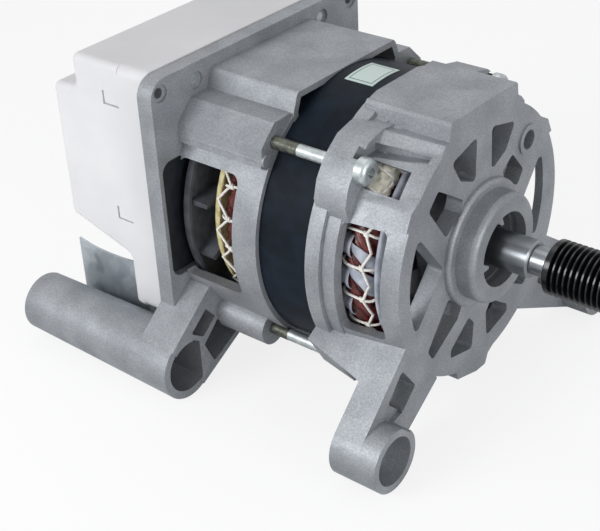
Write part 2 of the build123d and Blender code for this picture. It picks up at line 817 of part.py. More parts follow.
def lace(bundle_x):
    """Flat bands of cord round the bundle, each in a plane through the shaft axis."""
    depth = bundle_x[1] - bundle_x[0] + 2 * soft_gap
    height = bundle_outer - bundle_inner + 2 * soft_gap
    for index in range(lacing_count):
        angle = 360 / lacing_count * (index + 0.5)
        plane = Plane.XY.rotated((angle, 0, 0)).offset(-lacing_width / 2)
        with BuildSketch(plane) as band:
            with Locations(((bundle_x[0] + bundle_x[1]) / 2, (bundle_outer + bundle_inner) / 2)):
                Rectangle(depth + 2 * lacing_thickness, height + 2 * lacing_thickness)
                Rectangle(depth, height, mode=Mode.SUBTRACT)
        extrude(band.sketch, amount=lacing_width, dir=plane.z_dir)


with BuildPart() as front_lacing:
    lace(front_bundle_x)
keep(front_lacing, "front_lacing")

with BuildPart() as rear_lacing:
    lace(rear_bundle_x)
keep(rear_lacing, "rear_lacing")

lacing_reach = soft_gap + lacing_thickness
insulation_outer = 49.4
front_insulation_x = front_bundle_x[1] + lacing_reach + soft_gap
rear_insulation_x = rear_bundle_x[0] - lacing_reach - soft_gap

with BuildPart() as front_insulation_ring:
    ring(front_insulation_x, front_insulation_x + 1.4, insulation_outer, bundle_inner)
keep(front_insulation_ring, "front_insulation_ring")

with BuildPart() as rear_insulation_ring:
    ring(rear_insulation_x - 3.0, rear_insulation_x, insulation_outer, bundle_inner)
keep(rear_insulation_ring, "rear_insulation_ring")


# Blank rating label on the stack, between the shields

label_x = (-67.6, -54.4)
label_y = (-9.2, 8.2)

with BuildPart() as rating_label:
    ring(label_x[0], label_x[1], stator_radius + 0.3, stator_radius + 0.02)
    box((label_x[0], label_y[0], 40.0), (label_x[1], label_y[1], 70.0), mode=Mode.INTERSECT)
keep(rating_label, "rating_label")


# Tie bolts through both shields

with BuildPart() as tie_bolts:
    for place in corners(bolt_y, bolt_z):
        rod(bolt_end_x, bolt_block_front_x + 0.5, bolt_radius, at=place)
        rod(bolt_block_front_x, bolt_block_front_x + bolt_head_height, bolt_head_radius, at=place)
    fillet(tie_bolts.edges().filter_by(GeomType.CIRCLE).group_by(Axis.X)[-1], 2.2)
    chamfer(tie_bolts.edges().filter_by(GeomType.CIRCLE).group_by(Axis.X)[0], 0.6)
    with BuildSketch(yz(bolt_block_front_x + bolt_head_height - 2.2)):
        with Locations(*corners(bolt_y, bolt_z)):
            RegularPolygon(radius=2.1, side_count=6)
    extrude(amount=3.0, mode=Mode.SUBTRACT)
keep(tie_bolts, "tie_bolts")


# Bearings, each with its races, seals, balls and cage

race_outer_inside = 14.4
race_inner_outside = 10.6
seal_thickness = 0.8
seal_inset = 0.4
cage_thickness = 1.0
cage_width = 7.6


def ball_groove(middle_x):
    """The groove that the balls run in, cut from a race."""
    with BuildSketch(Plane.XY) as groove:
        with Locations((middle_x, ball_circle)):
            Circle(ball_radius + ball_gap)
    revolve(groove.sketch, axis=Axis.X, mode=Mode.SUBTRACT)


for bearing, back_x in (("front_bearing", front_bearing_back_x), ("rear_bearing", rear_bearing_back_x)):
    front_x = back_x + bearing_width
    middle_x = back_x + bearing_width / 2
    with BuildPart() as outer_race:
        ring(back_x, front_x, bearing_outer, race_outer_inside)
        ball_groove(middle_x)
    keep(outer_race, f"{bearing}_outer_race")
    with BuildPart() as inner_race:
        ring(back_x, front_x, race_inner_outside, bearing_inner)
        ball_groove(middle_x)
    keep(inner_race, f"{bearing}_inner_race")
    with BuildPart() as seals:
        for seal_x in (back_x + seal_inset, front_x - seal_inset - seal_thickness):
            ring(seal_x, seal_x + seal_thickness, race_outer_inside - seat_gap, race_inner_outside + 0.2)
    keep(seals, f"{bearing}_seals")
    with BuildPart() as balls:
        for index in range(ball_count):
            y, z = polar(ball_circle, 360 / ball_count * index)
            with Locations((middle_x, y, z)):
                Sphere(ball_radius)
    keep(balls, f"{bearing}_balls")
    with BuildPart() as cage:
        half = cage_width / 2
        skin = cage_thickness / 2
        ring(middle_x - half, middle_x + half, ball_circle + skin, ball_circle - skin)
        for index in range(ball_count):
            y, z = polar(ball_circle, 360 / ball_count * index)
            with Locations((middle_x, y, z)):
                Sphere(ball_radius + ball_gap, mode=Mode.SUBTRACT)
    keep(cage, f"{bearing}_cage")

with BuildPart() as bearing_circlip:
    clip_x = front_bearing_back_x - 0.1
    ring(clip_x - circlip_thickness, clip_x, bearing_outer + circlip_groove_depth - 0.2, bearing_outer - 2.2)
    box((clip_x - circlip_thickness, -3.0, 10.0), (clip_x, 3.0, 25.0), mode=Mode.SUBTRACT)
keep(bearing_circlip, "bearing_circlip")

with BuildPart() as wave_washer:
    ring(rear_bearing_back_x - washer_room + 0.05, rear_bearing_back_x - 0.05, bearing_outer - 0.3, 12.0)
keep(wave_washer, "wave_washer")


# Shaft, rotor, fan and belt pulley

shoulder_radius = 9.5
rotor_radius = bore_radius - air_gap
rotor_back_x = -82.0
rotor_front_x = -43.5
rear_shoulder_x = rear_bearing_back_x + bearing_width
first_crest_x = pulley_start_x + pulley_lead
pulley_end_x = first_crest_x + (rib_count - 1) * rib_pitch + 2.2
shaft_end_x = pulley_end_x + 1.0
journal = journal_radius - seat_gap

with BuildPart() as shaft:
    turned(
        [
            (rear_bearing_back_x + 0.2, 0.0),
            (rear_bearing_back_x + 0.2, journal - 0.6),
            (rear_bearing_back_x + 0.8, journal),
            (rear_shoulder_x, journal),
            (rear_shoulder_x, shoulder_radius),
            (fan_front_x + 5.0, shoulder_radius),
            (fan_front_x + 5.0, core_shaft_radius),
            (rotor_front_x + 6.0, core_shaft_radius),
            (rotor_front_x + 6.0, shoulder_radius),
            (front_bearing_back_x, shoulder_radius),
            (front_bearing_back_x, journal),
            (collar_end_x - 0.8, journal),
            (collar_end_x, journal - 0.8),
            (collar_end_x, neck_radius),
            (pulley_start_x, neck_radius),
            (pulley_start_x, pulley_bore - seat_gap),
            (shaft_end_x - 0.6, pulley_bore - seat_gap),
            (shaft_end_x, pulley_bore - seat_gap - 0.6),
            (shaft_end_x, 0.0),
        ]
    )
keep(shaft, "shaft")

with BuildPart() as rotor_core:
    ring(rotor_back_x, rotor_front_x, rotor_radius, core_shaft_radius + seat_gap)
keep(rotor_core, "rotor_core")

end_ring_outer = 31.5
end_ring_inner = 21.0
end_ring_length = 5.0
end_ring_fin = 3.5
fin_count = 8

with BuildPart() as rotor_end_rings:
    for inside_x, away in ((rotor_front_x, 1), (rotor_back_x, -1)):
        low = min(inside_x, inside_x + away * end_ring_length)
        ring(low, low + end_ring_length, end_ring_outer, end_ring_inner)
        fin_low = min(inside_x, inside_x + away * (end_ring_length + end_ring_fin))
        with BuildSketch(yz(fin_low)):
            with PolarLocations((end_ring_outer + end_ring_inner) / 2, fin_count):
                Rectangle(end_ring_outer - end_ring_inner - 2.0, 2.4)
        extrude(amount=end_ring_length + end_ring_fin)
keep(rotor_end_rings, "rotor_end_rings")

fan_cup_radius = rear_seat_radius + fan_cup_wall + 1.7
fan_hub_radius = 14.0
fan_hub_length = 4.5
fan_blade_inner = fan_cup_radius + 1.5
fan_blade_outer = fan_radius - 2.0

with BuildPart() as cooling_fan:
    # A disc against the plate, cupped over the bearing seat, with its blades to the front
    ring(fan_front_x - fan_disc, fan_front_x, fan_cup_radius, shoulder_radius + seat_gap)
    ring(fan_front_x - fan_disc, fan_front_x + fan_hub_length, fan_hub_radius, shoulder_radius + seat_gap)
    ring(fan_back_x, fan_front_x, fan_cup_radius, fan_cup_radius - fan_cup_wall)
    ring(fan_back_x, fan_back_x + fan_disc, fan_radius, fan_cup_radius - fan_cup_wall)
    ring(fan_back_x, fan_back_x + fan_rim, fan_radius, fan_radius - fan_disc)
    with BuildSketch(yz(fan_back_x + fan_disc / 2)):
        with PolarLocations((fan_blade_outer + fan_blade_inner) / 2, fan_blades):
            Rectangle(fan_blade_outer - fan_blade_inner, 2.2, rotation=18)
    extrude(amount=fan_blade_front_x - fan_back_x - fan_disc / 2)
keep(cooling_fan, "cooling_fan")

rib_points = []
for index in range(rib_count):
    crest_x = first_crest_x + index * rib_pitch
    rib_points.append((crest_x - rib_pitch / 2, pulley_radius - rib_depth))
    rib_points.append((crest_x - 0.3, pulley_radius))
    rib_points.append((crest_x + 0.3, pulley_radius))

with BuildPart() as pulley:
    turned(
        [
            (pulley_start_x, pulley_bore),
            (pulley_start_x, pulley_radius - 0.6),
            (pulley_start_x + 0.6, pulley_radius),
            (first_crest_x - rib_pitch / 2 - 0.8, pulley_radius),
        ]
        + rib_points
        + [
            (first_crest_x + (rib_count - 0.5) * rib_pitch, pulley_radius - rib_depth),
            (pulley_end_x, pulley_radius - rib_depth),
            (pulley_end_x, pulley_bore),
        ]
    )
keep(pulley, "pulley")

tacho_back_x = -109.6
baffle_thickness = 0.8
baffle_room = 0.5

with BuildPart() as air_baffles:
    plate_pocket(plate_pocket_x + baffle_thickness, baffle_room)
keep(air_baffles, "air_baffles")

with BuildPart() as tacho_magnet:
    ring(tacho_back_x, fan_front_x - fan_disc, 14.6, shoulder_radius + seat_gap)
keep(tacho_magnet, "tacho_magnet")

with BuildPart() as tacho_coil:
    ring(tacho_back_x, rear_seat_front_x - 0.2, bearing_outer, 15.4)
keep(tacho_coil, "tacho_coil")


# Inverter box: a white frame against the plate and a deep cover snapped over it

post_places = [(-51.0, 38.0), (51.0, 38.0), (-51.0, -32.0), (51.0, -32.0)]
post_radius = 6.7
board_screw_radius = 1.55
frame_boss_radius = 5.8
frame_boss_x = -131.0
frame_screw_radius = plate_hole_radius - seat_gap
screw_head_radius = 3.7
screw_head_height = 2.4
snap_heights = [46.0, -6.0]
snap_length = 8.8
snap_height = 6.0
snap_x = -149.2
snap_gap = 0.3
gasket_inset = 0.7
gasket_width = 1.2
gasket_depth = 1.2
gasket_gap = 0.1
gasket_corner = 3.0
box_middle_z = (box_top + box_bottom) / 2
box_height = box_top - box_bottom


def box_outline(inset, corner, mode=Mode.ADD):
    """The rounded outline of the box, set in from its outside."""
    with Locations((0, box_middle_z)):
        RectangleRounded(2 * (box_half - inset), box_height - 2 * inset, corner, mode=mode)


with BuildPart() as base_frame:
    with BuildSketch(yz(seam_x)):
        box_outline(0.0, box_corner)
        box_outline(box_wall, box_corner - box_wall, mode=Mode.SUBTRACT)
    extrude(amount=plate_back_x - seam_x)
    for place in plate_screw_places:
        rod(frame_boss_x, plate_back_x, frame_boss_radius, at=place)
    for place in post_places:
        rod(board_x + board_thickness, plate_back_x, post_radius, at=place)
    # Whatever a boss adds outside the flank is trimmed to the box
    with BuildSketch(yz(seam_x)):
        box_outline(0.0, box_corner)
    extrude(amount=plate_back_x - seam_x, mode=Mode.INTERSECT)
    for place in plate_screw_places:
        rod(frame_boss_x - 1, plate_back_x + 1, plate_hole_radius + 0.2, at=place, mode=Mode.SUBTRACT)
    for place in post_places:
        rod(board_x, plate_back_x - 3.0, board_screw_radius + seat_gap, at=place, mode=Mode.SUBTRACT)
    # Snap tongues that reach into the cover
    for sign in (-1, 1):
        for z in snap_heights:
            inner = box_half - box_wall - snap_gap
            y_in = sorted((sign * (inner - 1.6), sign * inner))
            y_root = sorted((sign * (inner - 1.6), sign * (box_half - box_wall + 0.5)))
            y_hook = sorted((sign * (inner - 1.6), sign * (box_half - 0.6)))
            low_z = z + snap_gap
            high_z = z + snap_height - snap_gap
            box((snap_x - 1.5, y_in[0], low_z), (seam_x + 6.0, y_in[1], high_z))
            box((seam_x + 1.0, y_root[0], low_z), (seam_x + 6.0, y_root[1], high_z))
            hook_x = (snap_x + snap_gap, snap_x + snap_length - snap_gap)
            box((hook_x[0], y_hook[0], low_z), (hook_x[1], y_hook[1], high_z))
    # Groove for the gasket along the seam
    with BuildSketch(yz(seam_x)):
        box_outline(gasket_inset, gasket_corner)
        box_outline(gasket_inset + gasket_width, gasket_corner - gasket_width, mode=Mode.SUBTRACT)
    extrude(amount=gasket_depth, mode=Mode.SUBTRACT)
keep(base_frame, "base_frame")

with BuildPart() as cover_gasket:
    with BuildSketch(yz(seam_x)):
        edge_out = gasket_inset + gasket_gap
        edge_in = gasket_inset + gasket_width - gasket_gap
        box_outline(edge_out, gasket_corner - gasket_gap)
        box_outline(edge_in, gasket_corner - gasket_width + gasket_gap, mode=Mode.SUBTRACT)
    extrude(amount=gasket_depth)
keep(cover_gasket, "cover_gasket")

cover_profile = [
    (seam_x + 8.0, box_top),
    (upper_back_x, box_top),
    (upper_back_x, ledge_z),
    (deep_back_x, ledge_z - 1.0),
    (deep_back_x, deep_low_z),
    (narrow_back_x, chamfer_low_z),
    (narrow_back_x, box_bottom),
    (seam_x + 8.0, box_bottom),
]
cover_inside = [
    (seam_x + 8.0, box_top - box_wall),
    (upper_back_x + box_wall, box_top - box_wall),
    (upper_back_x + box_wall, ledge_z - box_wall),
    (deep_back_x + box_wall, ledge_z - 1.0 - box_wall),
    (deep_back_x + box_wall, deep_low_z + 2.0),
    (narrow_back_x + box_wall, chamfer_low_z + 2.0),
    (narrow_back_x + box_wall, box_bottom + box_wall),
    (seam_x + 8.0, box_bottom + box_wall),
]

mains_socket = ((-32.0, -41.5), (-8.0, -27.5))
signal_socket = ((2.0, -40.5), (34.0, -28.5))
socket_wall = 1.3
socket_front_x = -148.0
socket_floor_x = -139.0
socket_gap = 0.4
rivet_radius = 1.6
rivet_places = [(-44.0, -33.0), (-44.0, -40.5)]

with BuildPart() as inverter_cover:
    slab(-box_half, box_half, cover_profile, 3.0)
    for end in (0, -1):
        flank = inverter_cover.faces().sort_by(Axis.Y)[end]
        fillet(flank.edges(), 2.9)
    slab(-box_half + box_wall, box_half - box_wall, cover_inside, 0.8, mode=Mode.SUBTRACT)
    box((seam_x, -80.0, -80.0), (seam_x + 20.0, 80.0, 80.0), mode=Mode.SUBTRACT)
    for sign in (-1, 1):
        for z in snap_heights:
            y_cut = sorted((sign * (box_half - box_wall - 1.0), sign * (box_half + 1.0)))
            box((snap_x, y_cut[0], z), (snap_x + snap_length, y_cut[1], z + snap_height), mode=Mode.SUBTRACT)
    for low, high in (mains_socket, signal_socket):
        box(
            (narrow_back_x - 1, low[0] - socket_gap, low[1] - socket_gap),
            (narrow_back_x + box_wall + 1, high[0] + socket_gap, high[1] + socket_gap),
            mode=Mode.SUBTRACT,
        )
    rivet_hole = rivet_radius + 0.05
    for place in rivet_places:
        rod(narrow_back_x - 1, narrow_back_x + box_wall + 1, rivet_hole, at=place, mode=Mode.SUBTRACT)
keep(inverter_cover, "inverter_cover")

sheet_foot_y = -38.0
sheet_bow = 2.2

with BuildPart() as guard_sheet:
    with BuildSketch(Plane.XY.offset(sheet_bottom)) as sheet_section:
        with BuildLine():
            near = sheet_y
            far = sheet_y + sheet_thickness
            middle = (sheet_back_x + narrow_back_x) / 2
            ThreePointArc((sheet_back_x, near), (middle, near - sheet_bow), (narrow_back_x, near))
            Line((narrow_back_x, near), (narrow_back_x, far))
            ThreePointArc((narrow_back_x, far), (middle, far - sheet_bow), (sheet_back_x, far))
            Line((sheet_back_x, far), (sheet_back_x, near))
        make_face()
    extrude(amount=sheet_top - sheet_bottom)
    box((narrow_back_x - sheet_thickness, sheet_y, sheet_bottom), (narrow_back_x, sheet_foot_y, sheet_top))
    for place in rivet_places:
        rod(narrow_back_x - 3, narrow_back_x + 1, rivet_hole, at=place, mode=Mode.SUBTRACT)
keep(guard_sheet, "guard_sheet")

with BuildPart() as guard_rivets:
    for place in rivet_places:
        rod(narrow_back_x - sheet_thickness - 1.0, narrow_back_x - sheet_thickness, 3.0, at=place)
        rod(narrow_back_x - sheet_thickness - 0.5, narrow_back_x + box_wall + 0.5, rivet_radius, at=place)
        rod(narrow_back_x + box_wall, narrow_back_x + box_wall + 1.0, 1.9, at=place)
keep(guard_rivets, "guard_rivets")

with BuildPart() as frame_screws:
    for place in plate_screw_places:
        rod(frame_boss_x - screw_head_height, frame_boss_x, screw_head_radius, at=place)
        rod(frame_boss_x - 0.5, plate_front_x - plate_sink_depth - 0.2, frame_screw_radius, at=place)
keep(frame_screws, "frame_screws")


# Circuit board and what it carries

front_side_x = board_x + board_thickness

with BuildPart() as circuit_board:
    box((board_x, -board_half, board_bottom), (front_side_x, board_half, board_top))
    for place in post_places:
        rod(board_x - 1, front_side_x + 1, board_screw_radius + 0.15, at=place, mode=Mode.SUBTRACT)
keep(circuit_board, "circuit_board")

with BuildPart() as board_screws:
    for place in post_places:
        rod(board_x - 2.0, board_x, 3.0, at=place)
        rod(board_x - 0.5, front_side_x + 5.5, board_screw_radius, at=place)
keep(board_screws, "board_screws")

module_low = (-24.0, -36.0)
module_high = (24.0, -8.0)
module_back_x = -126.5

with BuildPart() as power_module:
    box((front_side_x, module_low[0], module_low[1]), (module_back_x, module_high[0], module_high[1]))
keep(power_module, "power_module")

with BuildPart() as thermal_pad:
    box((module_back_x, module_low[0], module_low[1]), (plate_back_x, module_high[0], module_high[1]))
keep(thermal_pad, "thermal_pad")

capacitor_radius = 12.0
capacitor_height = 34.0
capacitor_places = [(-40.0, 22.0), (-14.0, 22.0)]

with BuildPart() as bus_capacitors:
    for place in capacitor_places:
        rod(board_x - capacitor_height, board_x, capacitor_radius, at=place)
    fillet(bus_capacitors.edges().filter_by(GeomType.CIRCLE).group_by(Axis.X)[0], 1.2)
keep(bus_capacitors, "bus_capacitors")

choke_place = (16.0, 24.0)

with BuildPart() as filter_choke:
    rod(board_x - 15.0, board_x, 14.0, at=choke_place)
    rod(board_x - 16.0, board_x + 1.0, 6.0, at=choke_place, mode=Mode.SUBTRACT)
keep(filter_choke, "filter_choke")

with BuildPart() as filter_capacitor:
    box((board_x - 20.0, 33.0, 6.0), (board_x, 47.0, 34.0))
    fillet(filter_capacitor.edges().filter_by(Axis.X), 1.0)
keep(filter_capacitor, "filter_capacitor")

with BuildPart() as inrush_relay:
    box((board_x - 15.0, 2.0, -6.0), (board_x, 22.0, 7.0))
keep(inrush_relay, "inrush_relay")

with BuildPart() as line_fuse:
    rod(board_x - 9.0, board_x, 4.2, at=(34.0, -8.0))
keep(line_fuse, "line_fuse")

with BuildPart() as controller_chip:
    box((board_x - 1.6, -26.0, -20.0), (board_x, -14.0, -8.0))
keep(controller_chip, "controller_chip")


def socket(low, high):
    """A header whose cavity opens away from the motor."""
    box((socket_front_x, low[0], low[1]), (board_x, high[0], high[1]))
    box(
        (socket_front_x - 1, low[0] + socket_wall, low[1] + socket_wall),
        (socket_floor_x, high[0] - socket_wall, high[1] - socket_wall),
        mode=Mode.SUBTRACT,
    )


with BuildPart() as mains_connector:
    socket(*mains_socket)
keep(mains_connector, "mains_connector")

with BuildPart() as signal_connector:
    socket(*signal_socket)
keep(signal_connector, "signal_connector")

mains_pin_count = 3
signal_pin_count = 6
pin_end_x = -143.0


def pins(low, high, count, width):
    """A row of flat pins standing on the floor of a socket."""
    pitch = (high[0] - low[0]) / count
    middle_z = (low[1] + high[1]) / 2
    for index in range(count):
        y = low[0] + pitch * (index + 0.5)
        box((pin_end_x, y - width / 2, middle_z - 0.4), (socket_floor_x, y + width / 2, middle_z + 0.4))


with BuildPart() as connector_pins:
    pins(*mains_socket, mains_pin_count, 4.0)
    pins(*signal_socket, signal_pin_count, 1.0)
keep(connector_pins, "connector_pins")


# Motor leads from the end turns to the board

lead_angles = [lead_angle - lead_spread, lead_angle, lead_angle + lead_spread]
lead_start = bundle_outer + 0.2

with BuildPart() as phase_leads:
    for angle in lead_angles:
        with BuildLine(Plane.XY.rotated((angle, 0, 0))) as lead_route:
            FilletPolyline(
                (lead_rise_x, lead_start),
                (lead_rise_x, lead_circle),
                (lead_end_x, lead_circle),
                radius=lead_bend,
            )
        start = (lead_rise_x,) + polar(lead_start, angle)
        outward = (0,) + polar(1, angle)
        with BuildSketch(Plane(origin=start, x_dir=(1, 0, 0), z_dir=outward)) as lead_section:
            Circle(lead_radius)
        sweep(lead_section.sketch, path=lead_route.wires()[0])
keep(phase_leads, "phase_leads")

with BuildPart() as lead_grommet:
    grommet_gap = 0.1
    lead_slot(plate_back_x, plate_front_x, lead_slot_width - grommet_gap, lead_slot_height - grommet_gap)
    lead_slot(plate_back_x - 1.2, plate_back_x, lead_slot_width + 3.0, lead_slot_height + 3.0)
    for angle in lead_angles:
        place = polar(lead_circle, angle)
        rod(plate_back_x - 2, plate_front_x + 1, lead_radius + grommet_gap, at=place, mode=Mode.SUBTRACT)
keep(lead_grommet, "lead_grommet")

with BuildPart() as lead_block:
    lead_y, lead_z = polar(lead_circle, lead_angle)
    box((front_side_x, lead_y - 9.0, lead_z - 6.0), (lead_end_x, lead_y + 9.0, board_top - 0.5))
keep(lead_block, "lead_block")

print(len(made), "nodes")
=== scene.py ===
# %% [markdown]
# # A washing machine drive motor with its inverter
#
# This lesson dresses a finished CAD model: two cast aluminium shields round a black steel
# stator, a shaft with a ribbed belt pulley, and a white plastic box at the back that holds
# the circuit board. The CAD says where every part is. Blender adds what CAD leaves plain:
# wound copper, lacing cord, screw threads and the finish of each material.

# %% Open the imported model
import json
import math
from itertools import product

import bmesh
import bpy
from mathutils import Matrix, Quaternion, Vector, noise


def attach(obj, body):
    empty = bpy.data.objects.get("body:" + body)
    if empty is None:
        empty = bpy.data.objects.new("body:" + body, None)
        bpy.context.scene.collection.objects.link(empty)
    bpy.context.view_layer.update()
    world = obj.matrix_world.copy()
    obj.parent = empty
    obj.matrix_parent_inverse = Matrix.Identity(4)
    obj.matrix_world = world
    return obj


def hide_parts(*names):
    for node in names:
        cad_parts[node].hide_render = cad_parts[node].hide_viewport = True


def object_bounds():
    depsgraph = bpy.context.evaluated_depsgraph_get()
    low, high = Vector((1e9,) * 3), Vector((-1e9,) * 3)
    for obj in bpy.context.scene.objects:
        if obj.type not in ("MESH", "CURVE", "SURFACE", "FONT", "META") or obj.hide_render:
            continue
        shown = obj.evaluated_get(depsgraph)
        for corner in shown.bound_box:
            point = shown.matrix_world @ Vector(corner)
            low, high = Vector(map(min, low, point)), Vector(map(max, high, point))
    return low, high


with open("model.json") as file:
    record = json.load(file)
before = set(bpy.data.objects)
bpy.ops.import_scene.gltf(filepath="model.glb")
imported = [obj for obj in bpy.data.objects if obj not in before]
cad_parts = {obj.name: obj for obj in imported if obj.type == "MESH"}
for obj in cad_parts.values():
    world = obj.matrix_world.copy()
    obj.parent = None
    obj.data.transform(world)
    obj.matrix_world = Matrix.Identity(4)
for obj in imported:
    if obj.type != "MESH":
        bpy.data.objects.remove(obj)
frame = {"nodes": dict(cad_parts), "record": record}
nodes = frame["nodes"]
cad_box = [list(corner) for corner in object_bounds()]
MM = 0.001

# %% [markdown]
# ## Camera
#
# The photograph was taken from the front right and above, so the pulley points at the lower
# right. The camera stands where its picture lines up with the photograph's landmarks: the
# hub, the corners of the square plate, the lugs and the long sleeve. The lens is given for
# Blender's 36 mm sensor width.

# %% Set the camera
camera_place = Vector((226.6, -382.8, 264.6)) * MM
camera_azimuth = math.radians(40.74)
camera_elevation = math.radians(31.35)
camera_roll = math.radians(-3.14)
camera_lens = 80.8

sight = Vector((
    -math.sin(camera_azimuth) * math.cos(camera_elevation),
    math.cos(camera_azimuth) * math.cos(camera_elevation),
    -math.sin(camera_elevation),
))
camera = bpy.data.objects.new("camera", bpy.data.cameras.new("camera"))
bpy.context.scene.collection.objects.link(camera)
camera.data.lens = camera_lens
camera.data.clip_start = 0.01
camera.location = camera_place
camera.rotation_mode = "QUATERNION"
camera.rotation_quaternion = sight.to_track_quat("-Z", "Y") @ Quaternion((0, 0, 1), camera_roll)
bpy.context.scene.camera = camera
bpy.context.scene.view_settings.view_transform = "Standard"
print("camera", [round(x, 3) for x in camera.location])

# %% [markdown]
# ## Node helpers
#
# Every finish below is built from nodes, so one small function adds a node, sets it and
# links it. Colours are written as hex values, as a paint chart gives them, and one function
# turns them to the linear values that the renderer works with.

# %% Helpers for nodes and colours
def linear(code, alpha=1.0):
    """A hex colour as linear red, green, blue and alpha."""
    shares = [int(code[i:i + 2], 16) / 255 for i in (1, 3, 5)]
    return [s / 12.92 if s <= 0.04045 else ((s + 0.055) / 1.055) ** 2.4 for s in shares] + [alpha]


def add(tree, kind, inputs=None, **settings):
    """One node with its settings. An input is a value, or another node's output to link."""
    made = tree.nodes.new(kind)
    for name, value in settings.items():
        setattr(made, name, value)
    for name, value in (inputs or {}).items():
        if isinstance(value, bpy.types.NodeSocket):
            tree.links.new(value, made.inputs[name])
        else:
            made.inputs[name].default_value = value
    return made


print("orange as linear:", [round(x, 3) for x in linear("#FF8000")])

# %% [markdown]
# ## Floor and light
#
# The motor stands on a white table in soft light. The world lights it evenly at less than
# full strength, and shows as plain white to the camera and in reflections, through Light
# Path, so the background costs the object no extra light. The key lamp from the left makes
# the flanks brighter than the fronts, as in the photograph. A lamp beyond the pulley and a
# weak one overhead open the shadows.

# %% World and lamps
white_share = 1.0
soft_level = 0.42
world = bpy.data.worlds.new("white_room")
bpy.context.scene.world = world
world.use_nodes = True
sky = world.node_tree
sky.nodes.clear()
path = add(sky, "ShaderNodeLightPath")
seen = add(sky, "ShaderNodeMath", {
    0: path.outputs["Is Camera Ray"], 1: path.outputs["Is Transmission Ray"]}, operation="MAXIMUM")
plain = add(sky, "ShaderNodeMath", {
    0: seen.outputs[0], 1: path.outputs["Is Glossy Ray"]}, operation="MAXIMUM")
level = add(sky, "ShaderNodeMix", {
    0: plain.outputs[0], 2: soft_level, 3: white_share}, data_type="FLOAT")
room = add(sky, "ShaderNodeBackground", {"Color": linear("#FFFFFF"), "Strength": level.outputs[0]})
add(sky, "ShaderNodeOutputWorld", {"Surface": room.outputs[0]})


def lamp(name, place_mm, aim_mm, size_mm, watts):
    """A square soft lamp that faces a point."""
    light = bpy.data.lights.new(name, "AREA")
    light.shape = "SQUARE"
    light.size = size_mm * MM
    light.energy = watts
    made = bpy.data.objects.new(name, light)
    made.location = Vector(place_mm) * MM
    made.rotation_mode = "QUATERNION"
    made.rotation_quaternion = (Vector(aim_mm) - Vector(place_mm)).to_track_quat("-Z", "Y")
    bpy.context.scene.collection.objects.link(made)
    return made


motor_middle = (-70, 0, 0)
lamp("key_lamp", (-350, -900, 450), motor_middle, 420, 6.0)
lamp("front_lamp", (900, -250, 200), motor_middle, 500, 4.2)
lamp("top_lamp", (-250, 200, 1000), motor_middle, 600, 1.4)

# %% Floor
floor_drop = cad_box[0][2]
shape = bmesh.new()
bmesh.ops.create_grid(shape, x_segments=1, y_segments=1, size=6.0)
bmesh.ops.translate(shape, verts=shape.verts, vec=(0, 0, floor_drop))
floor_mesh = bpy.data.meshes.new("table_top")
shape.to_mesh(floor_mesh)
shape.free()
floor = bpy.data.objects.new("table_top", floor_mesh)
bpy.context.scene.collection.objects.link(floor)

table = bpy.data.materials.new("white_laminate")
table.use_nodes = True
tree = table.node_tree
tree.nodes.clear()
path = add(tree, "ShaderNodeLightPath")
lit = add(tree, "ShaderNodeBsdfDiffuse", {"Color": linear("#F4F5F6")})
glow = add(tree, "ShaderNodeEmission", {"Color": linear("#FFFFFF"), "Strength": 1.0})
bare = add(tree, "ShaderNodeMath", {0: path.outputs["Is Camera Ray"], 1: 0.82}, operation="MULTIPLY")
mixed = add(tree, "ShaderNodeMixShader", {0: bare.outputs[0], 1: lit.outputs[0], 2: glow.outputs[0]})
add(tree, "ShaderNodeOutputMaterial", {"Surface": mixed.outputs[0]})
floor.data.materials.append(table)
print("floor at", round(floor_drop / MM, 1), "mm")

# %% [markdown]
# ## Finishes: the shared parts
#
# A finish needs three things at real sizes: how its colour wanders, how rough it is, and
# the small relief that catches light. The noise texture's scale is one over the size of
# its spots, so the sizes below are in millimetres and the code turns them round. A band is
# the part of the noise that is stretched from 0 to 1, and a narrow one gives clearer spots.
# At a scale of one, a wave texture has a ring every 0.314 units.

# %% Helpers for finishes
colour_band = (0.35, 0.65)
height_band = (0.3, 0.7)
wave_period = 0.314


def finish(name, metallic, roughness):
    """A material with its node tree, its shader and its object coordinates."""
    made = bpy.data.materials.new(name)
    made.use_nodes = True
    tree = made.node_tree
    shader = tree.nodes["Principled BSDF"]
    shader.inputs["Metallic"].default_value = metallic
    shader.inputs["Roughness"].default_value = roughness
    place = add(tree, "ShaderNodeTexCoord").outputs["Object"]
    return made, tree, shader, place


def wander(tree, place, spot_mm, band, detail=3.0):
    """A share from 0 to 1 that drifts over the surface in spots of a real size."""
    spots = add(tree, "ShaderNodeTexNoise", {
        "Vector": place, "Scale": 1 / (spot_mm * MM), "Detail": detail})
    share = add(tree, "ShaderNodeMapRange", {
        "Value": spots.outputs["Fac"], "From Min": band[0], "From Max": band[1]})
    return share.outputs["Result"]


def between(tree, share, first, second):
    """A colour between two hex values."""
    mixed = add(tree, "ShaderNodeMix", {
        0: share, 6: linear(first), 7: linear(second)}, data_type="RGBA")
    return mixed.outputs[2]


def relief(tree, height, height_mm, below=None):
    """A bump of a real height, over another bump where one is given."""
    inputs = {"Height": height, "Distance": height_mm * MM, "Strength": 1.0}
    if below is not None:
        inputs["Normal"] = below
    return add(tree, "ShaderNodeBump", inputs).outputs["Normal"]


def plain_finish(name, dark, light, spot_mm, metallic, roughness, grit_mm, height_mm):
    """A finish whose colour wanders between two values and whose skin has a fine grit."""
    made, tree, shader, place = finish(name, metallic, roughness)
    share = wander(tree, place, spot_mm, colour_band)
    tree.links.new(between(tree, share, dark, light), shader.inputs["Base Color"])
    grit = wander(tree, place, grit_mm, height_band, 2.0)
    tree.links.new(relief(tree, grit, height_mm), shader.inputs["Normal"])
    return made


print("finish helpers ready")

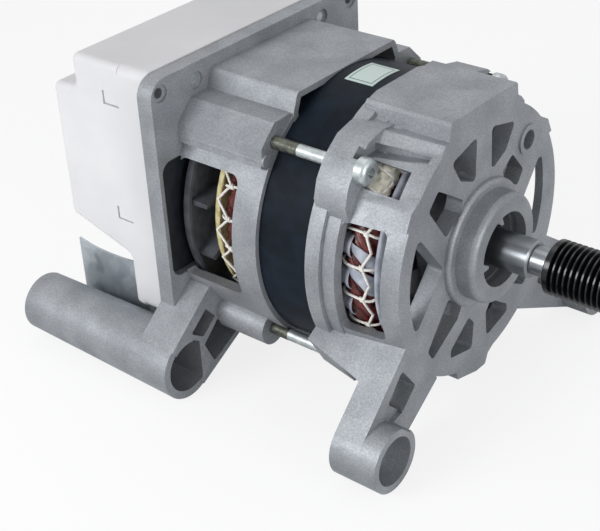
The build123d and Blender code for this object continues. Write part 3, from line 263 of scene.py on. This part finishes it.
# %% [markdown]
# ## Cast aluminium
#
# The two shields are pressure die-cast and bead blasted. The blast leaves a silvery skin
# with a fine grit that glitters, soft and matt from a distance, with slightly darker clouds
# where the metal chilled against the die. The glitter comes from grit of rough and smooth
# spots, helped by painted sparkle: fine light and dark specks painted into the colour.
# Part of the light is scattered by the oxide, so the metallic share stays under one.

# %% Cast aluminium
cast_aluminium, tree, shader, place = finish("cast_aluminium", 0.5, 0.5)
clouds = wander(tree, place, 14, colour_band)
cloud_colour = between(tree, clouds, "#888C91", "#989CA1")
grit = add(tree, "ShaderNodeTexVoronoi", {"Vector": place, "Scale": 1 / (0.9 * MM)}, feature="F1")
sparkle = add(tree, "ShaderNodeMapRange", {
    "Value": grit.outputs["Distance"], "From Min": 0.55, "From Max": 0.15, "To Min": 0.5, "To Max": 0.6})
tree.links.new(sparkle.outputs["Result"], shader.inputs["Roughness"])
# Painted sparkle: the colour is scaled darker and lighter in 0.7 mm specks, painted glints that stand in
# for the glitter of the blast grit.
painted_sparkle = add(tree, "ShaderNodeMapRange", {
    "Value": wander(tree, place, 0.7, colour_band, 2.0), "To Min": 0.84, "To Max": 1.08})
sparkle_painted_colour = add(tree, "ShaderNodeVectorMath", {
    0: cloud_colour, "Scale": painted_sparkle.outputs["Result"]}, operation="SCALE")
tree.links.new(sparkle_painted_colour.outputs["Vector"], shader.inputs["Base Color"])
skin = relief(tree, wander(tree, place, 7, height_band), 0.06)
blast = relief(tree, wander(tree, place, 0.45, height_band, 2.0), 0.02, skin)
tree.links.new(blast, shader.inputs["Normal"])
print("cast aluminium:", len(tree.nodes), "nodes")

# %% [markdown]
# ## Stator steel
#
# The stack is hundreds of stamped steel sheets, each half a millimetre thick, dipped in
# black lacquer. The lacquer bridges the edges of the sheets, so they only show as faint
# rings. Half a millimetre is finer than a pixel here, so the rings are drawn a little wider.

# %% Black lacquer over laminations
lacquered_steel, tree, shader, place = finish("lacquered_steel", 0.0, 0.5)
rings = add(tree, "ShaderNodeTexWave", {
    "Vector": place, "Scale": wave_period / (1.2 * MM), "Distortion": 0.6, "Detail": 1.0},
    bands_direction="X")
lacquer = between(tree, wander(tree, place, 9, colour_band), "#0C131B", "#151E29")
tree.links.new(lacquer, shader.inputs["Base Color"])
shader.inputs["Specular IOR Level"].default_value = 0.1
drips = relief(tree, wander(tree, place, 7, height_band), 0.05)
tree.links.new(relief(tree, rings.outputs["Fac"], 0.008, drips), shader.inputs["Normal"])
print("lacquered steel:", len(tree.nodes), "nodes")

# %% [markdown]
# ## Enamelled copper
#
# Magnet wire is copper under a hard red-brown enamel. It is glossy, and each wire catches
# its own thin highlight. Neighbouring turns come out slightly different in tone, which the
# wander gives.

# %% Enamelled copper
enamelled_copper, tree, shader, place = finish("enamelled_copper", 0.2, 0.28)
tone = wander(tree, place, 2.2, colour_band)
tree.links.new(between(tree, tone, "#380605", "#76110C"), shader.inputs["Base Color"])
shader.inputs["Coat Weight"].default_value = 0.8
shader.inputs["Coat Roughness"].default_value = 0.08
print("enamelled copper:", len(tree.nodes), "nodes")

# %% [markdown]
# ## Machined and rolled steel
#
# The shaft and the bearings are turned and ground, which leaves rings round the axis. A
# wave texture along X draws those. The guard sheet is hot-dip galvanised: zinc freezes in
# crystals, each a few millimetres wide and each with its own shade.

# %% Turned, ground and galvanised steel
def turned_steel(name, colour, lighter, roughness, ring_mm, height_mm):
    """Steel with fine rings round the shaft axis."""
    made, tree, shader, place = finish(name, 1.0, roughness)
    rings = add(tree, "ShaderNodeTexWave", {
        "Vector": place, "Scale": wave_period / (ring_mm * MM), "Distortion": 1.2, "Detail": 2.0},
        bands_direction="X")
    shade = between(tree, rings.outputs["Fac"], colour, lighter)
    tree.links.new(shade, shader.inputs["Base Color"])
    tree.links.new(relief(tree, rings.outputs["Fac"], height_mm), shader.inputs["Normal"])
    return made


machined_steel = turned_steel("machined_steel", "#83878B", "#8C9094", 0.3, 0.9, 0.0008)
bearing_steel = turned_steel("ground_steel", "#9EA2A6", "#A6AAAE", 0.25, 0.8, 0.0005)

galvanised_steel, tree, shader, place = finish("galvanised_steel", 0.85, 0.36)
crystals = add(tree, "ShaderNodeTexVoronoi", {"Vector": place, "Scale": 1 / (5.0 * MM)}, feature="F1")
zinc = add(tree, "ShaderNodeSeparateColor", {"Color": crystals.outputs["Color"]})
zinc_colour = between(tree, zinc.outputs["Red"], "#ABB3B9", "#BDC5CA")
tree.links.new(zinc_colour, shader.inputs["Base Color"])
spread = add(tree, "ShaderNodeMapRange", {
    "Value": zinc.outputs["Green"], "To Min": 0.28, "To Max": 0.44})
tree.links.new(spread.outputs["Result"], shader.inputs["Roughness"])
tree.links.new(relief(tree, wander(tree, place, 3, height_band), 0.02), shader.inputs["Normal"])
print("steels:", machined_steel.name, bearing_steel.name, galvanised_steel.name)

# %% [markdown]
# ## Moulded plastics, rubber, paper and the rest
#
# Most other parts are moulded. Moulded plastic has a spark-eroded grain of a few tenths of
# a millimetre and an even colour. The box is white polypropylene, slightly cool; sockets
# are nylon; seals are rubber. One helper makes most of them, each with its own numbers.

# %% White polypropylene of the box
white_plastic, tree, shader, place = finish("moulded_polypropylene", 0.0, 0.5)
milk = between(tree, wander(tree, place, 40, colour_band), "#D0D0D3", "#D8D8DA")
tree.links.new(milk, shader.inputs["Base Color"])
flow = relief(tree, wander(tree, place, 18, height_band), 0.10)
grain = relief(tree, wander(tree, place, 0.8, height_band, 2.0), 0.02, flow)
tree.links.new(grain, shader.inputs["Normal"])
shader.inputs["Subsurface Weight"].default_value = 0.05
shader.inputs["Subsurface Radius"].default_value = (0.002, 0.002, 0.002)
print("polypropylene:", len(tree.nodes), "nodes")

# %% Blank rating label
label_film, tree, shader, place = finish("label_film", 0.0, 0.35)
sides = add(tree, "ShaderNodeSeparateXYZ", {"Vector": place})
line_mm = 0.3
parts = []
for axis, middle_mm, half_mm in (("Y", -0.5, 7.4), ("X", -61.0, 5.3)):
    away = add(tree, "ShaderNodeMath", {
        0: sides.outputs[axis], 1: middle_mm * MM}, operation="SUBTRACT")
    away = add(tree, "ShaderNodeMath", {0: away.outputs[0]}, operation="ABSOLUTE")
    edge = add(tree, "ShaderNodeMath", {
        0: away.outputs[0], 1: half_mm * MM, 2: line_mm * MM}, operation="COMPARE")
    inside = add(tree, "ShaderNodeMath", {
        0: away.outputs[0], 1: (half_mm + line_mm) * MM}, operation="LESS_THAN")
    parts.append((edge, inside))
lines = []
for (edge, _), (_, inside) in (parts, parts[::-1]):
    line = add(tree, "ShaderNodeMath", {
        0: edge.outputs[0], 1: inside.outputs[0]}, operation="MULTIPLY")
    lines.append(line.outputs[0])
border = add(tree, "ShaderNodeMath", {0: lines[0], 1: lines[1]}, operation="MAXIMUM")
label_colour = between(tree, border.outputs[0], "#C3D3D0", "#6F8580")
tree.links.new(label_colour, shader.inputs["Base Color"])
print("label:", len(tree.nodes), "nodes")

# %% Finishes for the other slots
finishes = {
    "cast_aluminium": cast_aluminium,
    "lacquered_steel": lacquered_steel,
    "enamelled_copper": enamelled_copper,
    "machined_steel": machined_steel,
    "bearing_steel": bearing_steel,
    "galvanised_steel": galvanised_steel,
    "white_plastic": white_plastic,
    "slot_film": plain_finish("polyester_film", "#949AA6", "#B9BDC9", 4, 0.0, 0.4, 2.0, 0.03),
    "lacing_cord": plain_finish(
        "braided_polyester_cord", "#DEDAD2", "#F6F4EF", 1.2, 0.0, 0.7, 0.6, 0.08),
    "insulation_fleece": plain_finish(
        "aramid_fleece", "#B5A974", "#D8CFA4", 3, 0.0, 0.8, 0.8, 0.08),
    "splice_fleece": plain_finish("pale_fleece", "#C9C6B6", "#E6E3D6", 3, 0.0, 0.8, 0.8, 0.08),
    "label_film": label_film,
    "zinc_steel": plain_finish(
        "zinc_plated_steel", "#A4ABAE", "#C4CACB", 3, 0.75, 0.38, 0.8, 0.003),
    "thread_steel": plain_finish("oiled_thread", "#4A4C46", "#6B6D64", 2, 0.8, 0.4, 0.5, 0.01),
    "seal_rubber": plain_finish("nitrile_rubber", "#151517", "#232326", 5, 0.0, 0.6, 0.8, 0.03),
    "spring_steel": plain_finish("spring_steel", "#5C6064", "#7C8084", 4, 1.0, 0.35, 0.8, 0.02),
    "board_laminate": plain_finish(
        "solder_masked_laminate", "#24573A", "#2F6C45", 2, 0.0, 0.35, 0.6, 0.02),
    "black_plastic": plain_finish(
        "moulded_polyamide", "#14181D", "#20252B", 6, 0.0, 0.45, 0.5, 0.02),
    "capacitor_sleeve": plain_finish("shrink_sleeve", "#1E2940", "#2B3A58", 6, 0.0, 0.3, 3.0, 0.02),
    "choke_core": plain_finish("coated_ferrite", "#33503D", "#456A50", 3, 0.0, 0.5, 0.7, 0.04),
    "film_capacitor": plain_finish("epoxy_case", "#C79F2C", "#DDB844", 6, 0.0, 0.35, 2.0, 0.02),
    "relay_plastic": plain_finish("relay_polyester", "#27477A", "#315591", 6, 0.0, 0.4, 0.8, 0.02),
    "thermal_silicone": plain_finish(
        "gap_filler_silicone", "#8F9BAA", "#A3AEBB", 2, 0.0, 0.75, 0.8, 0.04),
    "socket_plastic": plain_finish("moulded_nylon", "#E3DFD2", "#F0EDE3", 6, 0.0, 0.4, 0.8, 0.02),
    "tinned_brass": plain_finish("tinned_brass", "#B5B09A", "#D0CBB6", 2, 1.0, 0.25, 0.6, 0.01),
    "lead_insulation": plain_finish("silicone_lead", "#98191F", "#B62A30", 3, 0.0, 0.55, 0.8, 0.03),
    "rotor_iron": plain_finish("lamination_steel", "#4A4D51", "#63666A", 4, 1.0, 0.45, 0.6, 0.03),
    "fan_plastic": plain_finish(
        "glass_filled_polyamide", "#43464C", "#565A61", 5, 0.0, 0.5, 0.6, 0.03),
    "pulley_steel": plain_finish("black_oxide_steel", "#08090B", "#131519", 2, 0.3, 0.2, 0.6, 0.01),
    "magnet_ferrite": plain_finish("pressed_ferrite", "#26262A", "#36363A", 3, 0.0, 0.6, 0.5, 0.03),
}
slots = {row["node"]: row["material_slot"] for row in frame["record"]["subparts"]}
for name, node in nodes.items():
    node.data.materials.clear()
    node.data.materials.append(finishes[slots[name]])
print(len(finishes), "finishes on", len(slots), "nodes")

# %% [markdown]
# ## Rounded edges on the castings
#
# No die-cast edge is sharp: the die is radiused and the blast takes off what is left, and
# the bright line along each edge comes from that. A CAD mesh arrives as loose triangles,
# so it is welded by a modifier first, and a bevel then rounds every edge that is sharp
# enough. The CAD mesh itself isn't touched.

# %% Round the edges
def soften(name, width_mm, angle_degrees=38, steps=2):
    """Weld and bevel a CAD node's edges, live."""
    node = nodes[name]
    weld = node.modifiers.new("weld", "WELD")
    weld.merge_threshold = 0.00001
    edge = node.modifiers.new("edge", "BEVEL")
    edge.width = width_mm * MM
    edge.segments = steps
    edge.limit_method = "ANGLE"
    edge.angle_limit = math.radians(angle_degrees)
    edge.use_clamp_overlap = True
    edge.harden_normals = False
    node.data.shade_smooth()
    even = node.modifiers.new("even", "WEIGHTED_NORMAL")
    even.keep_sharp = True


for name in ("front_shield", "rear_shield"):
    soften(name, 0.9)
print("rounded edges on", [n for n in nodes if nodes[n].modifiers])

# %% [markdown]
# ## Wires and cords
#
# Every wire and cord is a route of points with a round section, so one function turns any
# number of routes into a single curve object. Places are given along the shaft, by radius
# and by angle from the far side, in millimetres and degrees.

# %% Helpers for wires and cords
def spot(x, radius, degrees):
    """A point at a station along the shaft, a radius and an angle."""
    turn = math.radians(degrees)
    return Vector((x, radius * math.cos(turn), radius * math.sin(turn)))


def circle(steps):
    """Angles in radians, evenly round a circle."""
    return [2 * math.pi * step / steps for step in range(steps)]


def ring_section(ring, psi, room=0.0, squareness=2.6):
    """A point (x, radius) on a ring's rounded-square section, `room` outside its skin."""
    (x_low, x_high), (r_low, r_high) = ring
    across, up = math.cos(psi), math.sin(psi)
    power = 2 / squareness
    half_x = (x_high - x_low) / 2 + room
    half_r = (r_high - r_low) / 2 + room
    x = (x_low + x_high) / 2 + math.copysign(abs(across) ** power, across) * half_x
    radius = (r_low + r_high) / 2 + math.copysign(abs(up) ** power, up) * half_r
    return x, radius


def place_piece(name, data, slot):
    """A new piece of the housing with its finish, which is a slot of the record or its own."""
    made = bpy.data.objects.new(name, data)
    bpy.context.scene.collection.objects.link(made)
    data.materials.append(finishes[slot])
    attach(made, "housing")
    return made


def wires(name, routes, thickness_mm, slot, sides=6):
    """Routes of points in millimetres as one curve object. A route is (points, closed)."""
    data = bpy.data.curves.new(name, "CURVE")
    data.dimensions = "3D"
    data.bevel_depth = thickness_mm * MM / 2
    data.bevel_resolution = (sides - 4) // 2
    data.use_fill_caps = True
    for points, closed in routes:
        line = data.splines.new("POLY")
        line.points.add(len(points) - 1)
        places = [value for point in points for value in (*(point * MM), 1.0)]
        line.points.foreach_set("co", places)
        line.use_cyclic_u = closed
    return place_piece(name, data, slot)


front_ring = ((-40.05, -25.75), (37.05, 51.15))
rear_ring = ((-99.45, -85.15), (37.05, 51.15))
print("end windings between x", front_ring[0], "and", rear_ring[0])

# %% [markdown]
# ## End windings
#
# Outside the stack the wires of each slot leave as a bundle, climb over the ring and dive
# back into another slot. The ring is one wire laid in a rope: while it goes once round the
# shaft it winds six times round the ring's section, and each lap lies one wire further on.
# Four thick strands of eighteen wires make twenty-four bundles, one for each slot. A second
# rope wound the other way fills the valleys from below.

# %% Lay the ropes
wire_mm = 0.72
bundle_wires = 18
bundle_groups = 4
twists = 6
lap_steps = 84
bundle_flatness = 0.94
valley_depth = 3.0
waver_depth = 0.5
waver_circle = 2.2
waver_rate = 9
waver_turn = 6.28
filling_laps = 34
filling_twists = 4
filling_depth = 2.3
slot_count = 24
slot_degrees = 360 / slot_count
tail_rows = 11
tail_columns = 4
lowest_wire = 37.2
row_pitch = 1.13
column_pitch = 1.0
slot_middle = 43.0
ring_middle = 44.0
tail_spread = 1.05
tail_disorder = 0.6
tail_reach = 0.45


def rope(ring, lean, start_degrees):
    """The skin of a ring as one closed route, in bundles with valleys between them."""
    laps = bundle_wires * bundle_groups
    points = []
    for step in range(laps * lap_steps):
        share = step / lap_steps
        own = 2 * math.pi * share / laps
        psi = own + lean * twists * 2 * math.pi * share + math.radians(start_degrees)
        along = (own * bundle_groups / (2 * math.pi)) % 1
        arch = math.sqrt(1 - bundle_flatness * (2 * along - 1) ** 2)
        turn = waver_turn * share
        drift = noise.noise(Vector((
            waver_circle * math.cos(turn), waver_circle * math.sin(turn), waver_rate * own)))
        inset = wire_mm / 2 + valley_depth * (1 - arch) + waver_depth * abs(drift)
        x, radius = ring_section(ring, psi, -inset)
        points.append(spot(x, radius, 360 * share))
    return points, True


def filling(ring, lean):
    """A second rope inside the first, wound the other way."""
    points = []
    for step in range(filling_laps * lap_steps):
        share = step / lap_steps
        own = 2 * math.pi * share / filling_laps
        psi = own - lean * filling_twists * 2 * math.pi * share
        x, radius = ring_section(ring, psi, -filling_depth)
        points.append(spot(x, radius, 360 * share))
    return points, True


def tails(ring_x, slot_x, lean):
    """Wires from each slot into the back of the ring, fanned out a little on the way."""
    routes = []
    middle = (slot_x + ring_x) / 2
    inside = ring_x + (ring_x - slot_x) * tail_reach
    for index, row, column in product(range(slot_count), range(tail_rows), range(tail_columns)):
        degrees = slot_degrees * index
        low = lowest_wire + row * row_pitch
        lift = tail_disorder * math.sin(row * 2.1 + column * 1.7 + index)
        radius = ring_middle + (low - slot_middle) * tail_spread + 0.3 * lift
        swing = math.degrees((column - (tail_columns - 1) / 2) * column_pitch / low)
        routes.append(([
            spot(slot_x, low, degrees + swing),
            spot(middle, (low + radius) / 2, degrees + swing * 0.9 + lean * 0.8),
            spot(ring_x, radius, degrees + swing * 0.8 + lean * 2.4 + lift),
            spot(inside, radius - 0.8, degrees + swing + lean * 5.0),
        ], False))
    return routes


front_routes = [rope(front_ring, -1, 105), filling(front_ring, -1)] + tails(-37.6, -42.6, 1)
front_wires = wires("front_winding_wires", front_routes, wire_mm, "enamelled_copper")
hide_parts("front_end_winding")
rear_routes = [rope(rear_ring, 1, 75), filling(rear_ring, 1)] + tails(-87.6, -82.9, 1)
rear_wires = wires("rear_winding_wires", rear_routes, wire_mm, "enamelled_copper")
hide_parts("rear_end_winding")
print("front wires:", len(front_wires.data.splines), "routes")

# %% [markdown]
# ## Lacing cord
#
# A white cord ties every bundle down. It runs in a zigzag round the outer edge of the ring,
# and at each corner a loop goes right round the ring's section. The knots are short tight
# turns of the same cord.

# %% Lace the windings
cord_mm = 1.15
cord_start = slot_degrees / 2
cord_room = 0.45
front_knot_x = -29.6
rear_knot_x = -94.5
loop_steps = 28
loop_squareness = 3.4
zigzag_steps = 4
zigzag_waver = 0.5
knot_steps = 8


def cord_loop(ring, degrees, sway):
    """A loop round the ring's section, leaning a little to one side."""
    points = []
    for psi in circle(loop_steps):
        x, radius = ring_section(ring, psi, cord_room, loop_squareness)
        lean = sway * math.cos(psi) + 0.3 * math.sin(3 * psi + degrees)
        points.append(spot(x, radius, degrees + lean))
    return points, True


def zigzag(stations, radii):
    """A cord round the whole ring that swings between two stations, from corner to corner."""
    points = []
    steps = 2 * slot_count
    for step in range(steps * zigzag_steps):
        share = step / zigzag_steps
        fraction = share % 1
        even = int(share) % 2
        near = stations[even] + (stations[1 - even] - stations[even]) * fraction
        radius = radii[even] + (radii[1 - even] - radii[even]) * fraction
        waver = zigzag_waver * noise.noise(Vector((step * 0.37, 0.3, stations[0])))
        points.append(spot(near + waver, radius, cord_start + 360 * share / steps + 0.6 * waver))
    return points, True


def knot(x, radius, degrees):
    """Two tight turns of cord round a crossing."""
    routes = []
    for shift in (-0.5, 0.5):
        points = []
        for turn in circle(knot_steps):
            points.append(spot(
                x + shift + 0.3 * math.cos(turn), radius + 0.35 * math.sin(turn) - 0.2,
                degrees + math.degrees(0.75 * math.cos(turn) / radius)))
        routes.append((points, True))
    return routes


front_cords = [zigzag((front_knot_x, -26.2), (51.7, 50.9))]
rear_cords = [zigzag((rear_knot_x, -101.0), (51.9, 51.2))]
for index in range(slot_count):
    degrees = cord_start + slot_degrees * index
    front_cords.append(cord_loop(front_ring, degrees, 0.5))
    front_cords += knot(front_knot_x, 51.8, degrees)
    rear_cords.append(cord_loop(rear_ring, degrees, -0.7))
    rear_cords += knot(rear_knot_x, 51.9, degrees)
front_cord = wires("front_lacing_cord", front_cords, cord_mm, "lacing_cord")
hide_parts("front_lacing")
rear_cord = wires("rear_lacing_cord", rear_cords, cord_mm, "lacing_cord")
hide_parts("rear_lacing")
print("cord loops:", len(front_cords), len(rear_cords))

# %% [markdown]
# ## Fleece and film
#
# A strip of yellow fleece is folded over the back edge of the rear winding. At the front
# the phases are parted by pale film, pressed into a ring and with flaps that come out
# between the bundles. Both are sheets, so they are grids of faces, crumpled by noise.

# %% Fold the sheets
def sheet(name, slot, grids, closed_rows, closed_columns, thickness_mm=0.0):
    """Grids of points in millimetres as one mesh object."""
    shape = bmesh.new()
    for rows in grids:
        grid = [[shape.verts.new(point * MM) for point in row] for row in rows]
        height, width = len(grid), len(grid[0])
        for i in range(height if closed_rows else height - 1):
            for j in range(width if closed_columns else width - 1):
                following, beside = (i + 1) % height, (j + 1) % width
                near, far = grid[i], grid[following]
                face = shape.faces.new((near[j], near[beside], far[beside], far[j]))
                face.smooth = True
    bmesh.ops.recalc_face_normals(shape, faces=shape.faces)
    data = bpy.data.meshes.new(name)
    shape.to_mesh(data)
    shape.free()
    made = place_piece(name, data, slot)
    if thickness_mm:
        thick = made.modifiers.new("thickness", "SOLIDIFY")
        thick.thickness = thickness_mm * MM
        thick.offset = 0.0
    return made


def crumple(x, radius, degrees, size, depth):
    """How far a sheet is pushed off its smooth shape at a point."""
    return depth * noise.noise(spot(x, radius, degrees) / size)


def crumpled_ring(name, slot, section, size, depth, steps=180):
    """A closed section of (x, radius) points carried round the shaft, crumpled."""
    rows = []
    for index in range(steps):
        degrees = 360 * index / steps
        row = []
        for x, radius in section:
            push = crumple(x, radius, degrees, size, depth)
            row.append(spot(x + 0.6 * push, radius + push, degrees))
        rows.append(row)
    return sheet(name, slot, [rows], True, True)


rear_fleece = crumpled_ring("rear_fleece_strip", "insulation_fleece", [
    (-99.9, 51.0), (-100.8, 51.1), (-101.8, 50.8), (-102.9, 50.2), (-103.5, 49.0), (-103.6, 46.0),
    (-103.6, 42.0), (-103.5, 38.0), (-103.0, 37.0), (-100.8, 37.0), (-100.7, 42.0), (-100.6, 47.0),
    (-100.4, 49.6), (-99.9, 50.4)], 3.2, 0.45)
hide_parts("rear_insulation_ring")
front_film = crumpled_ring("front_phase_film", "slot_film", [
    (-25.2, 49.6), (-24.6, 50.0), (-23.6, 49.6), (-23.2, 48.4), (-23.2, 43.0), (-23.2, 38.0),
    (-23.4, 37.0), (-24.5, 37.0), (-24.6, 38.0), (-24.6, 43.0), (-24.7, 48.4)], 3.0, 0.4)
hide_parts("front_insulation_ring")

flap_places = ((166.0, 8.0), (176.5, 10.0), (44.0, 8.0), (98.0, 9.0), (232.0, 8.0), (300.0, 9.0))
flap_rows = 15
flap_columns = 9
flap_start = 118
flap_step = 11
flap_room = 0.15
flap_lean = -6.0
flaps = []
for degrees, width in flap_places:
    rows = []
    for step in range(flap_rows):
        psi = math.radians(flap_start - flap_step * step)
        x, radius = ring_section(front_ring, psi, flap_room)
        lean = flap_lean * math.cos(psi)
        spread = width * min(1.0, 0.25 + step * 0.12)
        row = []
        for column in range(flap_columns):
            angle = degrees - lean + spread * (column / (flap_columns - 1) - 0.5)
            push = crumple(x, radius, angle, 2.6, 0.7)
            row.append(spot(x, radius + push * 0.6, angle))
        rows.append(row)
    flaps.append(rows)
sheet("phase_flaps", "slot_film", flaps, False, False, 0.14)

# %% [markdown]
# ## Slot cuffs and the splice sleeve
#
# Each slot liner is folded back where it leaves the stack, which makes a pale round mouth
# that the bundle comes out of. The wires are spliced under a crumpled fleece sleeve, which
# shows through the upper front window.

# %% Fold the cuffs and wrap the splice
cuff_middle_radius = 44.2
cuff_half_length = 6.9
cuff_half_degrees = 5.0
cuff_sides = 28


def cuff(degrees, stations):
    """The folded end of one slot liner as rings of points, with a rolled rim."""
    rows = []
    for x, grow in stations:
        row = []
        for turn in circle(cuff_sides):
            along = math.copysign(abs(math.sin(turn)) ** 0.75, math.sin(turn))
            aside = math.copysign(abs(math.cos(turn)) ** 0.85, math.cos(turn))
            radius = cuff_middle_radius + along * (cuff_half_length + grow)
            half = cuff_half_degrees + math.degrees(grow / radius)
            row.append(spot(x, radius, degrees + aside * half))
        rows.append(row)
    return rows


winding_mirror = -125.3
front_stations = (
    (-43.2, 0.0), (-40.0, 0.2), (-36.6, 0.6), (-35.4, 1.0), (-35.0, 1.3), (-35.3, 1.5), (-36.6, 1.2))
rear_stations = [(winding_mirror - x, grow) for x, grow in front_stations]
for name, stations in (("front_slot_cuffs", front_stations), ("rear_slot_cuffs", rear_stations)):
    cuffs = [cuff(slot_degrees * index, stations) for index in range(slot_count)]
    sheet(name, "slot_film", cuffs, False, True)

splice_x = -31.5
splice_radius = 50.2
splice_start = 119
splice_sweep = 32
splice_girth = 4.4
splice_rows = 33
splice_sides = 40
sleeve = []
for index in range(splice_rows):
    share = index / (splice_rows - 1)
    degrees = splice_start + splice_sweep * share
    girth = splice_girth * math.sqrt(max(0.02, 1 - (2 * share - 1) ** 4))
    row = []
    for turn in circle(splice_sides):
        x = splice_x + girth * math.cos(turn) * 1.15
        radius = splice_radius + girth * math.sin(turn) * 0.85
        push = crumple(x, radius, degrees, 2.4, 1.5) + crumple(x, radius, degrees, 0.9, 0.6)
        row.append(spot(x + push * math.cos(turn), radius + push * math.sin(turn), degrees))
    sleeve.append(row)
splice = sheet("splice_sleeve", "splice_fleece", [sleeve], False, True, 0.2)

tie_reach_x = 5.1
tie_reach_up = 4.1
ties = []
for degrees in (125.5, 131.0, 140.0, 146.0):
    points = []
    for turn in circle(20):
        points.append(spot(
            splice_x + tie_reach_x * math.cos(turn),
            splice_radius + tie_reach_up * math.sin(turn),
            degrees + 1.6 * math.cos(turn)))
    ties.append((points, True))
wires("splice_ties", ties, cord_mm, "lacing_cord")
print("cuffs:", 2 * slot_count, "and one sleeve with", len(ties), "ties")

# %% [markdown]
# ## Screw threads
#
# The tie bolts are threaded where they leave the rear shield. The thread is a helix with a
# pitch of 0.8 mm over a core, both dull from the oil that the thread was cut with.

# %% Cut the threads
thread_pitch = 0.8
thread_radius = 2.42
thread_sides = 12
thread_mm = 0.5
core_mm = 5.06
threads = []
cores = []
low_thread = (-82.0, -72.2)
high_thread = (-76.0, -62.2)
for side, height in ((-44, -43), (-44, 43), (44, -43), (44, 43)):
    start, end = low_thread if height < 0 else high_thread
    cores.append(([Vector((start, side, height)), Vector((end, side, height))], False))
    points = []
    for step in range(int((end - start) / thread_pitch * thread_sides)):
        turn = 2 * math.pi * step / thread_sides
        points.append(Vector((
            start + thread_pitch * step / thread_sides,
            side + thread_radius * math.cos(turn),
            height + thread_radius * math.sin(turn))))
    threads.append((points, False))
wires("bolt_threads", threads, thread_mm, "thread_steel")
wires("bolt_thread_cores", cores, core_mm, "thread_steel", 20)
print("threads:", len(threads))
